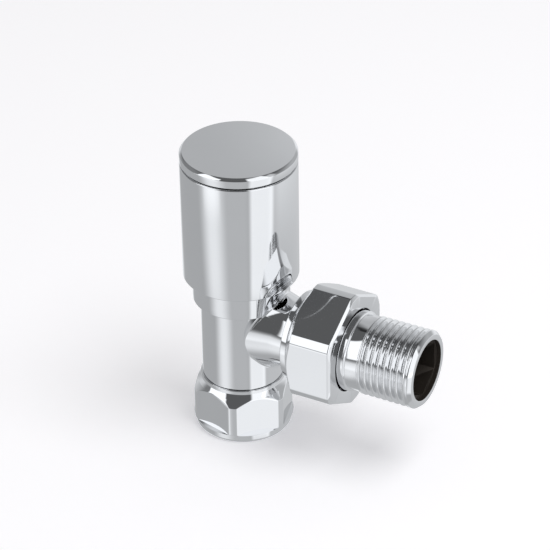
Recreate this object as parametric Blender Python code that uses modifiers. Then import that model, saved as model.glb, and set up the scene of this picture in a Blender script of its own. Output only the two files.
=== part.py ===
"""Angled manual radiator valve: 15 mm compression inlet below, G1/2 union tail to the side.

Upright on its compression nut: +Z up the spindle, +X out along the union tail.
The origin is the centre of the nut's lower face. Sizes below are in millimetres.
"""
import math

import bmesh
import bpy
from mathutils import Matrix

MM = 0.001
ASSEMBLY_NAME = "angled_radiator_valve"
GAP = 0.3
ROUND_STEPS = 40
SMALL_STEPS = 20
TAIL_STEPS = 32
RING_SECTION_STEPS = 6
WELD_DISTANCE = 0.00001
SMOOTH_ANGLE = math.radians(30.0)
CUTTER_OVERRUN = 2.0
HEX = 6
SQUARE = 4

# Body casting: upright barrel, wider boss under the head, side arm.
ARM_Z = 31.7
BARREL_R = 10.84
BARREL_BOTTOM_Z = 15.6
BOSS_R = 12.85
BOSS_BOTTOM_Z = 39.2
BOSS_LIP = 0.2
BODY_TOP_Z = 51.0
BODY_TOP_CHAMFER = 0.4
PIPE_THREAD_R = 10.2
PIPE_THREAD_BOTTOM_Z = 5.9
PIPE_BORE_R = 7.75
PIPE_STOP_Z = 18.0
OLIVE_CONE_MOUTH_R = 9.3
OLIVE_CONE_TOP_Z = 7.5
WATERWAY_R = 5.2
SEAT_TOP_Z = 26.0
SEAT_LIP_R = 6.8
CHAMBER_FLOOR_Z = 25.0
CHAMBER_R = 9.2
CHAMBER_TOP_Z = 41.0
BONNET_THREAD_BORE_R = 9.9
ARM_R = 9.0
ARM_ROOT_R = 9.6
ARM_ROOT_X = 10.0
ARM_TAPER_END_X = 13.0
ARM_INNER_X = 2.0
SHOULDER_R = 12.1
SHOULDER_X = 17.6
RELIEF_X = 19.4
RELIEF_R = 11.5
UNION_THREAD_R = 13.22
UNION_THREAD_X = 20.2
ARM_END_X = 29.0
THREAD_LEAD = 0.8
ARM_BORE_R = 6.0
ARM_BORE_START_X = 7.0
NOSE_BORE_R = 8.35
NOSE_BORE_X = 25.6

# Compression nut and olive on the pipe inlet.
COMP_NUT_HEIGHT = 15.3
COMP_NUT_ACROSS_FLATS = 24.3
COMP_NUT_LAND_R = 13.5
COMP_NUT_NECK_R = 11.3
COMP_NUT_NECK_Z = 14.5
COMP_NUT_WAIST_R = 12.1
COMP_NUT_WAIST_Z = 13.2
COMP_NUT_LAND_TOP_Z = 11.3
COMP_NUT_BASE_R = 12.4
COMP_NUT_RIM_R = 12.9
COMP_NUT_RIM_Z = 0.6
COMP_NUT_FLAT_Z = 2.6
COMP_NUT_SEAT_Z = 2.2
COMP_NUT_SEAT_TOP_Z = 3.9
COMP_NUT_SEAT_TOP_R = 9.4
COMP_NUT_CORNER_DEG = -14.1
OLIVE_R = 9.0
OLIVE_BORE_R = 7.6
OLIVE_END_R = 8.1
OLIVE_BOTTOM_Z = 3.3
OLIVE_TOP_Z = 6.7
OLIVE_BELT = 0.9

# Union nut, tailpiece and its ring on the side arm (lengths along X).
UNION_NUT_ACROSS_FLATS = 29.5
UNION_NUT_LAND_R = 16.37
UNION_NUT_BACK_X = 20.4
UNION_NUT_FRONT_X = 33.58
UNION_NUT_BACK_R = 13.95
UNION_NUT_BACK_CHAMFER = 1.6
UNION_NUT_FRONT_CHAMFER = 0.5
UNION_NUT_HOLE_R = 11.26
UNION_NUT_WALL = 2.38
TAIL_END_X = 54.4
TAIL_THREAD_R = 10.4775
TAIL_THREAD_PITCH = 1.814
TAIL_THREAD_TURNS = 7
TAIL_THREAD_START_X = 39.2
TAIL_THREAD_DEPTH = 1.0
THREAD_FLANK_SHARE = 0.3
THREAD_ROOT_FLANKS = 1.4
THREAD_CREST_FLANKS = 0.9
TAIL_PLAIN_R = 10.2
TAIL_BAND_R = 10.8
TAIL_BAND_END_X = 35.5
TAIL_LEAD = 0.9
TAIL_SHOULDER_R = 12.9
TAIL_SHOULDER_X = 31.0
TAIL_SHOULDER_BACK_X = 29.4
TAIL_NOSE_R = 8.05
TAIL_NOSE_X = 25.9
TAIL_GROOVE_R = 6.9
TAIL_GROOVE_X = 27.0
TAIL_GROOVE_WIDTH = 1.6
TAIL_NOSE_WATERWAY_R = 5.4
TAIL_WATERWAY_R = 6.8
TAIL_WATERWAY_X = 31.5
TAIL_FUNNEL = 1.0
TAIL_MOUTH_R = 8.16
TAIL_MOUTH_DEPTH = 1.4
TAIL_HEX_ACROSS_FLATS = 14.0
TAIL_HEX_DEPTH = 9.0
TAIL_RING_R = 7.62
TAIL_RING_SECTION_R = 0.46

# Bonnet, gland and spindle above the body.
BONNET_BOTTOM_Z = 42.0
BONNET_THREAD_R = 9.6
BONNET_HEX_R = 12.1
BONNET_HEX_ACROSS_FLATS = 21.4
BONNET_HEX_BOTTOM_Z = 52.2
BONNET_HEX_TOP_Z = 56.2
BONNET_NECK_R = 7.0
BONNET_TOP_Z = 62.5
BONNET_SPINDLE_BORE_R = 5.0
BONNET_SPINDLE_BORE_TOP_Z = 56.0
STEM_HOLE_R = 3.3
PACKING_BORE_R = 5.2
PACKING_BORE_Z = 57.3
BONNET_WASHER_BORE_R = 9.95
BONNET_WASHER_R = 11.9
GLAND_NUT_R = 9.6
GLAND_NUT_ACROSS_FLATS = 17.0
GLAND_NUT_BOTTOM_Z = 58.6
GLAND_NUT_TOP_Z = 64.8
GLAND_NUT_WALL = 2.0
GLAND_NUT_CHAMFER = 0.6
PACKING_TOP_Z = 60.7
FOLLOWER_BOTTOM_Z = 61.0
SPINDLE_STEM_R = 3.0
SPINDLE_THREAD_R = 4.6
SPINDLE_THREAD_TOP_Z = 52.0
SPINDLE_BOTTOM_Z = 36.0
SPINDLE_SOCKET_R = 2.7
SPINDLE_SOCKET_TOP_Z = 44.0
SPINDLE_TOP_Z = 74.4
SPINDLE_TAP_R = 1.8
SPINDLE_TAP_Z = 66.5
SPINDLE_SQUARE = 4.6
SPINDLE_SQUARE_Z = 66.8
SPINDLE_SQUARE_CORNER_DEG = 45.0

# Jumper with its seat washer and screw.
JUMPER_TOP_Z = 43.0
JUMPER_STEM_R = 2.4
JUMPER_PLATE_TOP_Z = 31.8
JUMPER_R = 7.5
JUMPER_RIM_Z = 27.6
JUMPER_RIM_BORE_R = 6.9
JUMPER_RECESS_Z = 29.1
JUMPER_TAP_R = 1.5
JUMPER_TAP_Z = 31.0
SEAT_WASHER_R = 6.6
WASHER_SCREW_R = 1.2
WASHER_SCREW_TOP_Z = 30.6
WASHER_SCREW_HEAD_R = 3.0
WASHER_SCREW_HEAD_HEIGHT = 1.4
SLOT_WIDTH = 0.8
SLOT_DEPTH = 0.6
SLOT_LENGTH_RADII = 3.0

# Head: sleeve, hub, top disc and what fixes them to the spindle.
HEAD_R = 15.32
HEAD_BOTTOM_Z = 46.5
HEAD_EDGE = 0.2
SLEEVE_TOP_Z = 79.85
SKIRT_BORE_R = 13.35
SLEEVE_BORE_R = 14.2
SLEEVE_LEDGE_Z = 66.0
SNAP_GROOVE_R = 14.65
SNAP_GROOVE_Z = 75.8
SNAP_GROOVE_WIDTH = 1.1
SNAP_RING_R = 14.35
SNAP_RING_BORE_R = 13.0
SNAP_RING_THICKNESS = 0.6
SNAP_RING_OPENING = 5.0
SNAP_RING_CUT_HEIGHTS = 4.0
HUB_R = 13.9
HUB_TOP_Z = 75.5
HUB_WEB = 2.5
HUB_RIM_BORE_R = 12.4
HUB_BOSS_R = 5.5
HUB_BOSS_Z = 67.2
HUB_SCREW_HOLE_R = 1.9
HUB_ROOF = 0.8
HUB_RIB_WIDTH = 1.6
HUB_RIB_Z = 68.0
HUB_RIBS = 3
HUB_RIB_TURN_DEG = 15.0
DISC_TOP_Z = 83.2
DISC_BEVEL = 0.7
DISC_BAND_Z = 80.3
DISC_NECK_R = 14.6
DISC_SKIRT_Z = 77.0
DISC_SKIRT_BORE_R = 11.8
DISC_ROOF_Z = 80.8
GRIP_GROOVE_R = 12.75
GRIP_GROOVE_Z = 77.95
GRIP_GROOVE_WIDTH = 1.4
GRIP_RING_R = 13.47
GRIP_RING_SECTION_R = 0.42
KNOB_SCREW_R = 1.5
KNOB_SCREW_BOTTOM_Z = 67.5
KNOB_SCREW_HEAD_R = 3.8
KNOB_SCREW_HEAD_Z = 77.0
KNOB_SCREW_HEAD_HEIGHT = 2.2
KNOB_SCREW_CROWN_SHARE = 0.7
KNOB_SLOT_LENGTH_RADII = 1.2
KNOB_WASHER_R = 4.2
KNOB_WASHER_THICKNESS = 0.8

CHROME = ("polished_chrome", (0.82, 0.83, 0.85), 0.08, 1.0)
BRASS = ("turned_brass", (0.72, 0.53, 0.25), 0.32, 1.0)
STEEL = ("bright_steel", (0.55, 0.56, 0.58), 0.30, 1.0)
RUBBER = ("black_rubber", (0.03, 0.03, 0.03), 0.75, 0.0)
FIBRE = ("red_fibre", (0.42, 0.11, 0.08), 0.80, 0.0)
PTFE = ("white_ptfe", (0.86, 0.86, 0.84), 0.55, 0.0)
NYLON = ("grey_nylon", (0.30, 0.31, 0.33), 0.50, 0.0)


def clear_scene():
    """Remove every object and mesh left in the file."""
    for item in list(bpy.data.objects):
        bpy.data.objects.remove(item, do_unlink=True)
    for mesh in list(bpy.data.meshes):
        bpy.data.meshes.remove(mesh)


def new_collection(name):
    """Add a collection to the scene."""
    collection = bpy.data.collections.new(name)
    bpy.context.scene.collection.children.link(collection)
    return collection


def make_material(name, finish):
    """Principled material for one sub-part from a named finish."""
    label, colour, roughness, metallic = finish
    material = bpy.data.materials.new(f"{name}_{label}")
    material.use_nodes = True
    shader = material.node_tree.nodes["Principled BSDF"]
    shader.inputs["Base Color"].default_value = (*colour, 1.0)
    shader.inputs["Roughness"].default_value = roughness
    shader.inputs["Metallic"].default_value = metallic
    material.diffuse_color = (*colour, 1.0)
    material.roughness = roughness
    material.metallic = metallic
    return material


def profile_mesh(name, outline, closed):
    """Mesh of connected edges from (radius, height) points in millimetres."""
    mesh = bpy.data.meshes.new(name)
    points = [(radius * MM, 0.0, height * MM) for radius, height in outline]
    edges = [(index, index + 1) for index in range(len(points) - 1)]
    if closed:
        edges.append((len(points) - 1, 0))
    mesh.from_pydata(points, edges, [])
    return mesh


def place(item, collection, along_arm):
    """Link an object, laid along the side arm when asked."""
    collection.objects.link(item)
    if along_arm:
        item.location = (0.0, 0.0, ARM_Z * MM)
        item.rotation_euler = (0.0, math.pi / 2.0, 0.0)


def turn(name, outline, collection, closed=True, steps=ROUND_STEPS, along_arm=False):
    """Turned piece: the outline runs down the outer side and is spun about its own Z."""
    item = bpy.data.objects.new(name, profile_mesh(name, outline, closed))
    place(item, collection, along_arm)
    spin = item.modifiers.new("turned", "SCREW")
    spin.axis = "Z"
    spin.angle = math.tau
    spin.steps = steps
    spin.render_steps = steps
    spin.use_merge_vertices = True
    spin.merge_threshold = WELD_DISTANCE
    spin.use_smooth_shade = True
    return item


def finish_part(item, finish):
    """Settle the modifiers into a plain mesh, shade it and give it a material."""
    graph = bpy.context.evaluated_depsgraph_get()
    mesh = bpy.data.meshes.new_from_object(item.evaluated_get(graph))
    item.modifiers.clear()
    item.data = mesh
    mesh.name = item.name
    mesh.materials.clear()
    mesh.materials.append(make_material(item.name, finish))
    mesh.shade_smooth()
    mesh.set_sharp_from_angle(angle=SMOOTH_ANGLE)
    return item


def polygon_ring(name, sides, across_flats, low, high, cutters, turn_deg=0.0, along_arm=False):
    """Cutter that mills flats: a thick ring with a many-sided hole."""
    mesh = bpy.data.meshes.new(name)
    inner = across_flats / 2.0 / math.cos(math.pi / sides)
    outer = inner * 2.0
    work = bmesh.new()
    rings = []
    for radius, height in ((inner, low), (outer, low), (outer, high), (inner, high)):
        ring = []
        for index in range(sides):
            angle = math.radians(turn_deg) + math.tau * index / sides
            spot = (radius * MM * math.cos(angle), radius * MM * math.sin(angle), height * MM)
            ring.append(work.verts.new(spot))
        rings.append(ring)
    for ring, following in zip(rings, rings[1:] + rings[:1]):
        for index in range(sides):
            after = (index + 1) % sides
            work.faces.new((ring[index], following[index], following[after], ring[after]))
    bmesh.ops.recalc_face_normals(work, faces=work.faces)
    work.to_mesh(mesh)
    work.free()
    item = bpy.data.objects.new(name, mesh)
    place(item, cutters, along_arm)
    return item


def prism(name, sides, across_flats, low, high, cutters, turn_deg=0.0, along_arm=False):
    """Many-sided bar used to broach a socket."""
    mesh = bpy.data.meshes.new(name)
    radius = across_flats / 2.0 / math.cos(math.pi / sides) * MM
    work = bmesh.new()
    bmesh.ops.create_cone(work, cap_ends=True, segments=sides, radius1=radius, radius2=radius,
                          depth=(high - low) * MM)
    bmesh.ops.translate(work, verts=work.verts, vec=(0.0, 0.0, (low + high) / 2.0 * MM))
    work.to_mesh(mesh)
    work.free()
    mesh.transform(Matrix.Rotation(math.radians(turn_deg), 4, "Z"))
    item = bpy.data.objects.new(name, mesh)
    place(item, cutters, along_arm)
    return item


def block(name, size, centre, cutters, turn_deg=0.0):
    """Rectangular bar given its full size and centre in millimetres."""
    mesh = bpy.data.meshes.new(name)
    work = bmesh.new()
    bmesh.ops.create_cube(work, size=MM)
    bmesh.ops.scale(work, verts=work.verts, vec=size)
    work.to_mesh(mesh)
    work.free()
    item = bpy.data.objects.new(name, mesh)
    cutters.objects.link(item)
    item.location = [value * MM for value in centre]
    item.rotation_euler = (0.0, 0.0, math.radians(turn_deg))
    return item


def combine(item, tool, operation):
    """Join or cut an item with a hidden tool shape."""
    tool.hide_render = True
    tool.display_type = "WIRE"
    step = item.modifiers.new(tool.name, "BOOLEAN")
    step.operation = operation
    step.solver = "EXACT"
    step.object = tool


def ring_outline(radius, height, section):
    """Round cross-section of a rubber ring, listed down its outer side."""
    outline = []
    for index in range(RING_SECTION_STEPS):
        angle = math.pi / 2.0 - math.tau * index / RING_SECTION_STEPS
        outline.append((radius + section * math.cos(angle), height + section * math.sin(angle)))
    return outline


def plain_ring(outer, inner, low, high):
    """Rectangular cross-section of a washer."""
    return [(inner, high), (outer, high), (outer, low), (inner, low)]


def build_valve_body(parts, cutters):
    """Brass casting: barrel, boss, side arm, seat and waterways."""
    outside = [
        (0.0, BODY_TOP_Z),
        (BOSS_R - BODY_TOP_CHAMFER, BODY_TOP_Z),
        (BOSS_R, BODY_TOP_Z - BODY_TOP_CHAMFER),
        (BOSS_R, BOSS_BOTTOM_Z + BOSS_LIP),
        (BOSS_R - BOSS_LIP, BOSS_BOTTOM_Z),
        (BARREL_R, BOSS_BOTTOM_Z),
        (BARREL_R, BARREL_BOTTOM_Z),
        (PIPE_THREAD_R, BARREL_BOTTOM_Z),
        (PIPE_THREAD_R, PIPE_THREAD_BOTTOM_Z + THREAD_LEAD),
        (PIPE_THREAD_R - THREAD_LEAD / 2.0, PIPE_THREAD_BOTTOM_Z),
        (0.0, PIPE_THREAD_BOTTOM_Z),
    ]
    body = turn("valve_body", outside, parts, closed=False)
    combine(body, _arm_outside(cutters), "UNION")
    combine(body, _upright_waterway(cutters), "DIFFERENCE")
    combine(body, _arm_waterway(cutters), "DIFFERENCE")
    return finish_part(body, CHROME)


def _arm_outside(cutters):
    """Side arm with its shoulder, relief and union thread."""
    outline = [
        (0.0, ARM_END_X),
        (UNION_THREAD_R - THREAD_LEAD, ARM_END_X),
        (UNION_THREAD_R, ARM_END_X - THREAD_LEAD),
        (UNION_THREAD_R, UNION_THREAD_X),
        (RELIEF_R, UNION_THREAD_X),
        (RELIEF_R, RELIEF_X),
        (SHOULDER_R, RELIEF_X),
        (SHOULDER_R, SHOULDER_X),
        (ARM_R, SHOULDER_X),
        (ARM_R, ARM_TAPER_END_X),
        (ARM_ROOT_R, ARM_ROOT_X),
        (ARM_ROOT_R, ARM_INNER_X),
        (0.0, ARM_INNER_X),
    ]
    return turn("arm_outside", outline, cutters, closed=False, along_arm=True)


def _upright_waterway(cutters):
    """Space for the pipe, the water, the jumper and the bonnet thread."""
    outline = [
        (0.0, BODY_TOP_Z + CUTTER_OVERRUN),
        (BONNET_THREAD_BORE_R, BODY_TOP_Z + CUTTER_OVERRUN),
        (BONNET_THREAD_BORE_R, CHAMBER_TOP_Z),
        (CHAMBER_R, CHAMBER_TOP_Z - THREAD_LEAD),
        (CHAMBER_R, CHAMBER_FLOOR_Z),
        (SEAT_LIP_R, CHAMBER_FLOOR_Z),
        (SEAT_LIP_R, SEAT_TOP_Z),
        (WATERWAY_R, SEAT_TOP_Z),
        (WATERWAY_R, PIPE_STOP_Z),
        (PIPE_BORE_R, PIPE_STOP_Z),
        (PIPE_BORE_R, OLIVE_CONE_TOP_Z),
        (OLIVE_CONE_MOUTH_R, PIPE_THREAD_BOTTOM_Z),
        (OLIVE_CONE_MOUTH_R, PIPE_THREAD_BOTTOM_Z - CUTTER_OVERRUN),
        (0.0, PIPE_THREAD_BOTTOM_Z - CUTTER_OVERRUN),
    ]
    return turn("upright_waterway", outline, cutters, closed=False)


def _arm_waterway(cutters):
    """Outlet bore with the wider bore that takes the tail's nose."""
    outline = [
        (0.0, ARM_END_X + CUTTER_OVERRUN),
        (NOSE_BORE_R, ARM_END_X + CUTTER_OVERRUN),
        (NOSE_BORE_R, NOSE_BORE_X),
        (ARM_BORE_R, NOSE_BORE_X),
        (ARM_BORE_R, ARM_BORE_START_X),
        (0.0, ARM_BORE_START_X),
    ]
    return turn("arm_waterway", outline, cutters, closed=False, along_arm=True)


def build_compression_nut(parts, cutters):
    """Hexagon nut with a round rim below and a turned neck above."""
    outline = [
        (PIPE_THREAD_R + GAP, COMP_NUT_HEIGHT),
        (COMP_NUT_NECK_R, COMP_NUT_HEIGHT),
        (COMP_NUT_NECK_R, COMP_NUT_NECK_Z),
        (COMP_NUT_WAIST_R, COMP_NUT_WAIST_Z),
        (COMP_NUT_LAND_R, COMP_NUT_LAND_TOP_Z),
        (COMP_NUT_LAND_R, COMP_NUT_FLAT_Z),
        (COMP_NUT_RIM_R, COMP_NUT_FLAT_Z - GAP),
        (COMP_NUT_RIM_R, COMP_NUT_RIM_Z),
        (COMP_NUT_BASE_R, 0.0),
        (PIPE_BORE_R, 0.0),
        (PIPE_BORE_R, COMP_NUT_SEAT_Z),
        (COMP_NUT_SEAT_TOP_R, COMP_NUT_SEAT_TOP_Z),
        (PIPE_THREAD_R + GAP, COMP_NUT_SEAT_TOP_Z),
    ]
    nut = turn("compression_nut", outline, parts)
    flats = polygon_ring("compression_nut_flats", HEX, COMP_NUT_ACROSS_FLATS, COMP_NUT_FLAT_Z,
                         COMP_NUT_HEIGHT + CUTTER_OVERRUN, cutters, COMP_NUT_CORNER_DEG)
    combine(nut, flats, "DIFFERENCE")
    return finish_part(nut, CHROME)


def build_compression_olive(parts):
    """Brass ring squeezed onto the pipe."""
    middle = (OLIVE_BOTTOM_Z + OLIVE_TOP_Z) / 2.0
    outline = [
        (OLIVE_BORE_R, OLIVE_TOP_Z),
        (OLIVE_END_R, OLIVE_TOP_Z),
        (OLIVE_R, middle + OLIVE_BELT / 2.0),
        (OLIVE_R, middle - OLIVE_BELT / 2.0),
        (OLIVE_END_R, OLIVE_BOTTOM_Z),
        (OLIVE_BORE_R, OLIVE_BOTTOM_Z),
    ]
    return finish_part(turn("compression_olive", outline, parts, steps=SMALL_STEPS), BRASS)


def build_union_nut(parts, cutters):
    """Hexagon nut whose front wall pulls the tailpiece against the arm."""
    outline = [
        (UNION_NUT_HOLE_R, UNION_NUT_FRONT_X),
        (UNION_NUT_LAND_R - UNION_NUT_FRONT_CHAMFER, UNION_NUT_FRONT_X),
        (UNION_NUT_LAND_R, UNION_NUT_FRONT_X - UNION_NUT_FRONT_CHAMFER),
        (UNION_NUT_LAND_R, UNION_NUT_BACK_X + UNION_NUT_BACK_CHAMFER),
        (UNION_NUT_BACK_R, UNION_NUT_BACK_X),
        (UNION_THREAD_R + GAP, UNION_NUT_BACK_X),
        (UNION_THREAD_R + GAP, UNION_NUT_FRONT_X - UNION_NUT_WALL),
        (UNION_NUT_HOLE_R, UNION_NUT_FRONT_X - UNION_NUT_WALL),
    ]
    nut = turn("union_nut", outline, parts, along_arm=True)
    flats = polygon_ring("union_nut_flats", HEX, UNION_NUT_ACROSS_FLATS,
                         UNION_NUT_BACK_X - CUTTER_OVERRUN, UNION_NUT_FRONT_X + CUTTER_OVERRUN,
                         cutters, along_arm=True)
    combine(nut, flats, "DIFFERENCE")
    return finish_part(nut, CHROME)


def _thread_outline():
    """Crests and roots of the tail thread, listed from the open end inwards."""
    root = TAIL_THREAD_R - TAIL_THREAD_DEPTH
    flank = TAIL_THREAD_PITCH * THREAD_FLANK_SHARE
    points = []
    for turn_index in reversed(range(TAIL_THREAD_TURNS)):
        start = TAIL_THREAD_START_X + turn_index * TAIL_THREAD_PITCH
        points.append((TAIL_THREAD_R, start + TAIL_THREAD_PITCH))
        points.append((root, start + TAIL_THREAD_PITCH - flank))
        points.append((root, start + TAIL_THREAD_PITCH - flank * THREAD_ROOT_FLANKS))
        points.append((TAIL_THREAD_R, start + flank * THREAD_CREST_FLANKS))
    return points


def build_union_tailpiece(parts, cutters):
    """Tail: radiator thread, hexagon key socket, shoulder and nose."""
    groove_end = TAIL_GROOVE_X + TAIL_GROOVE_WIDTH
    outline = [
        (TAIL_MOUTH_R, TAIL_END_X),
        (TAIL_THREAD_R - TAIL_LEAD, TAIL_END_X),
        (TAIL_THREAD_R, TAIL_END_X - TAIL_LEAD),
        *_thread_outline(),
        (TAIL_PLAIN_R, TAIL_THREAD_START_X),
        (TAIL_PLAIN_R, TAIL_BAND_END_X),
        (TAIL_BAND_R, TAIL_BAND_END_X - GAP),
        (TAIL_BAND_R, TAIL_SHOULDER_X - GAP),
        (TAIL_SHOULDER_R, TAIL_SHOULDER_X - GAP),
        (TAIL_SHOULDER_R, TAIL_SHOULDER_BACK_X),
        (TAIL_NOSE_R, TAIL_SHOULDER_BACK_X),
        (TAIL_NOSE_R, groove_end),
        (TAIL_GROOVE_R, groove_end),
        (TAIL_GROOVE_R, TAIL_GROOVE_X),
        (TAIL_NOSE_R, TAIL_GROOVE_X),
        (TAIL_NOSE_R, TAIL_NOSE_X + GAP),
        (TAIL_NOSE_R - GAP, TAIL_NOSE_X),
        (TAIL_NOSE_WATERWAY_R, TAIL_NOSE_X),
        (TAIL_NOSE_WATERWAY_R, TAIL_WATERWAY_X - TAIL_FUNNEL),
        (TAIL_WATERWAY_R, TAIL_WATERWAY_X),
        (TAIL_WATERWAY_R, TAIL_END_X - TAIL_MOUTH_DEPTH),
        (TAIL_MOUTH_R, TAIL_END_X - TAIL_MOUTH_DEPTH),
    ]
    tail = turn("union_tailpiece", outline, parts, steps=TAIL_STEPS, along_arm=True)
    mouth_floor = TAIL_END_X - TAIL_MOUTH_DEPTH
    socket = prism("tail_key_socket", HEX, TAIL_HEX_ACROSS_FLATS, mouth_floor - TAIL_HEX_DEPTH,
                   mouth_floor + TAIL_MOUTH_DEPTH / 2.0, cutters, along_arm=True)
    combine(tail, socket, "DIFFERENCE")
    return finish_part(tail, CHROME)


def build_tail_o_ring(parts):
    """Rubber ring in the groove of the tail's nose."""
    centre = TAIL_GROOVE_X + TAIL_GROOVE_WIDTH / 2.0
    outline = ring_outline(TAIL_RING_R, centre, TAIL_RING_SECTION_R)
    ring = turn("tail_o_ring", outline, parts, steps=SMALL_STEPS, along_arm=True)
    return finish_part(ring, RUBBER)


def build_bonnet(parts, cutters):
    """Screwed-in bonnet that guides the spindle and holds the packing."""
    outline = [
        (PACKING_BORE_R, BONNET_TOP_Z),
        (BONNET_NECK_R, BONNET_TOP_Z),
        (BONNET_NECK_R, BONNET_HEX_TOP_Z),
        (BONNET_HEX_R, BONNET_HEX_TOP_Z),
        (BONNET_HEX_R, BONNET_HEX_BOTTOM_Z),
        (BONNET_THREAD_R, BONNET_HEX_BOTTOM_Z),
        (BONNET_THREAD_R, BONNET_BOTTOM_Z),
        (BONNET_SPINDLE_BORE_R, BONNET_BOTTOM_Z),
        (BONNET_SPINDLE_BORE_R, BONNET_SPINDLE_BORE_TOP_Z),
        (STEM_HOLE_R, BONNET_SPINDLE_BORE_TOP_Z),
        (STEM_HOLE_R, PACKING_BORE_Z),
        (PACKING_BORE_R, PACKING_BORE_Z),
    ]
    bonnet = turn("bonnet", outline, parts, steps=SMALL_STEPS)
    flats = polygon_ring("bonnet_flats", HEX, BONNET_HEX_ACROSS_FLATS,
                         BONNET_BOTTOM_Z - CUTTER_OVERRUN, BONNET_TOP_Z + CUTTER_OVERRUN, cutters)
    combine(bonnet, flats, "DIFFERENCE")
    return finish_part(bonnet, BRASS)


def build_bonnet_washer(parts):
    """Fibre washer sealing the bonnet to the body."""
    outline = plain_ring(BONNET_WASHER_R, BONNET_WASHER_BORE_R, BODY_TOP_Z + GAP,
                         BONNET_HEX_BOTTOM_Z - GAP)
    return finish_part(turn("bonnet_washer", outline, parts, steps=SMALL_STEPS), FIBRE)


def build_gland_nut(parts, cutters):
    """Nut that presses the packing round the spindle."""
    outline = [
        (STEM_HOLE_R, GLAND_NUT_TOP_Z),
        (GLAND_NUT_R - GLAND_NUT_CHAMFER, GLAND_NUT_TOP_Z),
        (GLAND_NUT_R, GLAND_NUT_TOP_Z - GLAND_NUT_CHAMFER),
        (GLAND_NUT_R, GLAND_NUT_BOTTOM_Z),
        (BONNET_NECK_R + GAP, GLAND_NUT_BOTTOM_Z),
        (BONNET_NECK_R + GAP, GLAND_NUT_TOP_Z - GLAND_NUT_WALL),
        (STEM_HOLE_R, GLAND_NUT_TOP_Z - GLAND_NUT_WALL),
    ]
    nut = turn("gland_nut", outline, parts, steps=SMALL_STEPS)
    flats = polygon_ring("gland_nut_flats", HEX, GLAND_NUT_ACROSS_FLATS,
                         GLAND_NUT_BOTTOM_Z - CUTTER_OVERRUN, GLAND_NUT_TOP_Z + CUTTER_OVERRUN,
                         cutters)
    combine(nut, flats, "DIFFERENCE")
    return finish_part(nut, BRASS)


def build_gland_packing(parts):
    """Soft sleeve round the spindle."""
    outline = plain_ring(PACKING_BORE_R - GAP, STEM_HOLE_R, PACKING_BORE_Z + GAP, PACKING_TOP_Z)
    return finish_part(turn("gland_packing", outline, parts, steps=SMALL_STEPS), PTFE)


def build_gland_follower(parts):
    """Brass ring between the gland nut and the packing."""
    outline = plain_ring(PACKING_BORE_R - GAP, STEM_HOLE_R, FOLLOWER_BOTTOM_Z, BONNET_TOP_Z)
    return finish_part(turn("gland_follower", outline, parts, steps=SMALL_STEPS), BRASS)


def build_spindle(parts, cutters):
    """Spindle: tapped square end, plain stem, lifting thread and jumper socket."""
    outline = [
        (0.0, SPINDLE_TAP_Z),
        (SPINDLE_TAP_R, SPINDLE_TAP_Z + GAP),
        (SPINDLE_TAP_R, SPINDLE_TOP_Z),
        (SPINDLE_STEM_R, SPINDLE_TOP_Z),
        (SPINDLE_STEM_R, SPINDLE_THREAD_TOP_Z),
        (SPINDLE_THREAD_R, SPINDLE_THREAD_TOP_Z - GAP),
        (SPINDLE_THREAD_R, SPINDLE_BOTTOM_Z + GAP),
        (SPINDLE_THREAD_R - GAP, SPINDLE_BOTTOM_Z),
        (SPINDLE_SOCKET_R, SPINDLE_BOTTOM_Z),
        (SPINDLE_SOCKET_R, SPINDLE_SOCKET_TOP_Z),
        (0.0, SPINDLE_SOCKET_TOP_Z + GAP),
    ]
    spindle = turn("spindle", outline, parts, closed=False, steps=SMALL_STEPS)
    flats = polygon_ring("spindle_flats", SQUARE, SPINDLE_SQUARE, SPINDLE_SQUARE_Z,
                         SPINDLE_TOP_Z + CUTTER_OVERRUN, cutters, SPINDLE_SQUARE_CORNER_DEG)
    combine(spindle, flats, "DIFFERENCE")
    return finish_part(spindle, BRASS)


def build_valve_jumper(parts):
    """Plug plate with its stem, cupped to hold the seat washer."""
    outline = [
        (0.0, JUMPER_TOP_Z),
        (JUMPER_STEM_R - GAP, JUMPER_TOP_Z),
        (JUMPER_STEM_R, JUMPER_TOP_Z - GAP),
        (JUMPER_STEM_R, JUMPER_PLATE_TOP_Z),
        (JUMPER_R - GAP, JUMPER_PLATE_TOP_Z),
        (JUMPER_R, JUMPER_PLATE_TOP_Z - GAP),
        (JUMPER_R, JUMPER_RIM_Z),
        (JUMPER_RIM_BORE_R, JUMPER_RIM_Z),
        (JUMPER_RIM_BORE_R, JUMPER_RECESS_Z),
        (JUMPER_TAP_R, JUMPER_RECESS_Z),
        (JUMPER_TAP_R, JUMPER_TAP_Z),
        (0.0, JUMPER_TAP_Z + GAP),
    ]
    jumper = turn("valve_jumper", outline, parts, closed=False, steps=SMALL_STEPS)
    return finish_part(jumper, BRASS)


def build_seat_washer(parts):
    """Rubber disc that closes on the seat."""
    outline = plain_ring(SEAT_WASHER_R, JUMPER_TAP_R, SEAT_TOP_Z + GAP, JUMPER_RECESS_Z - GAP)
    return finish_part(turn("seat_washer", outline, parts, steps=SMALL_STEPS), RUBBER)


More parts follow.
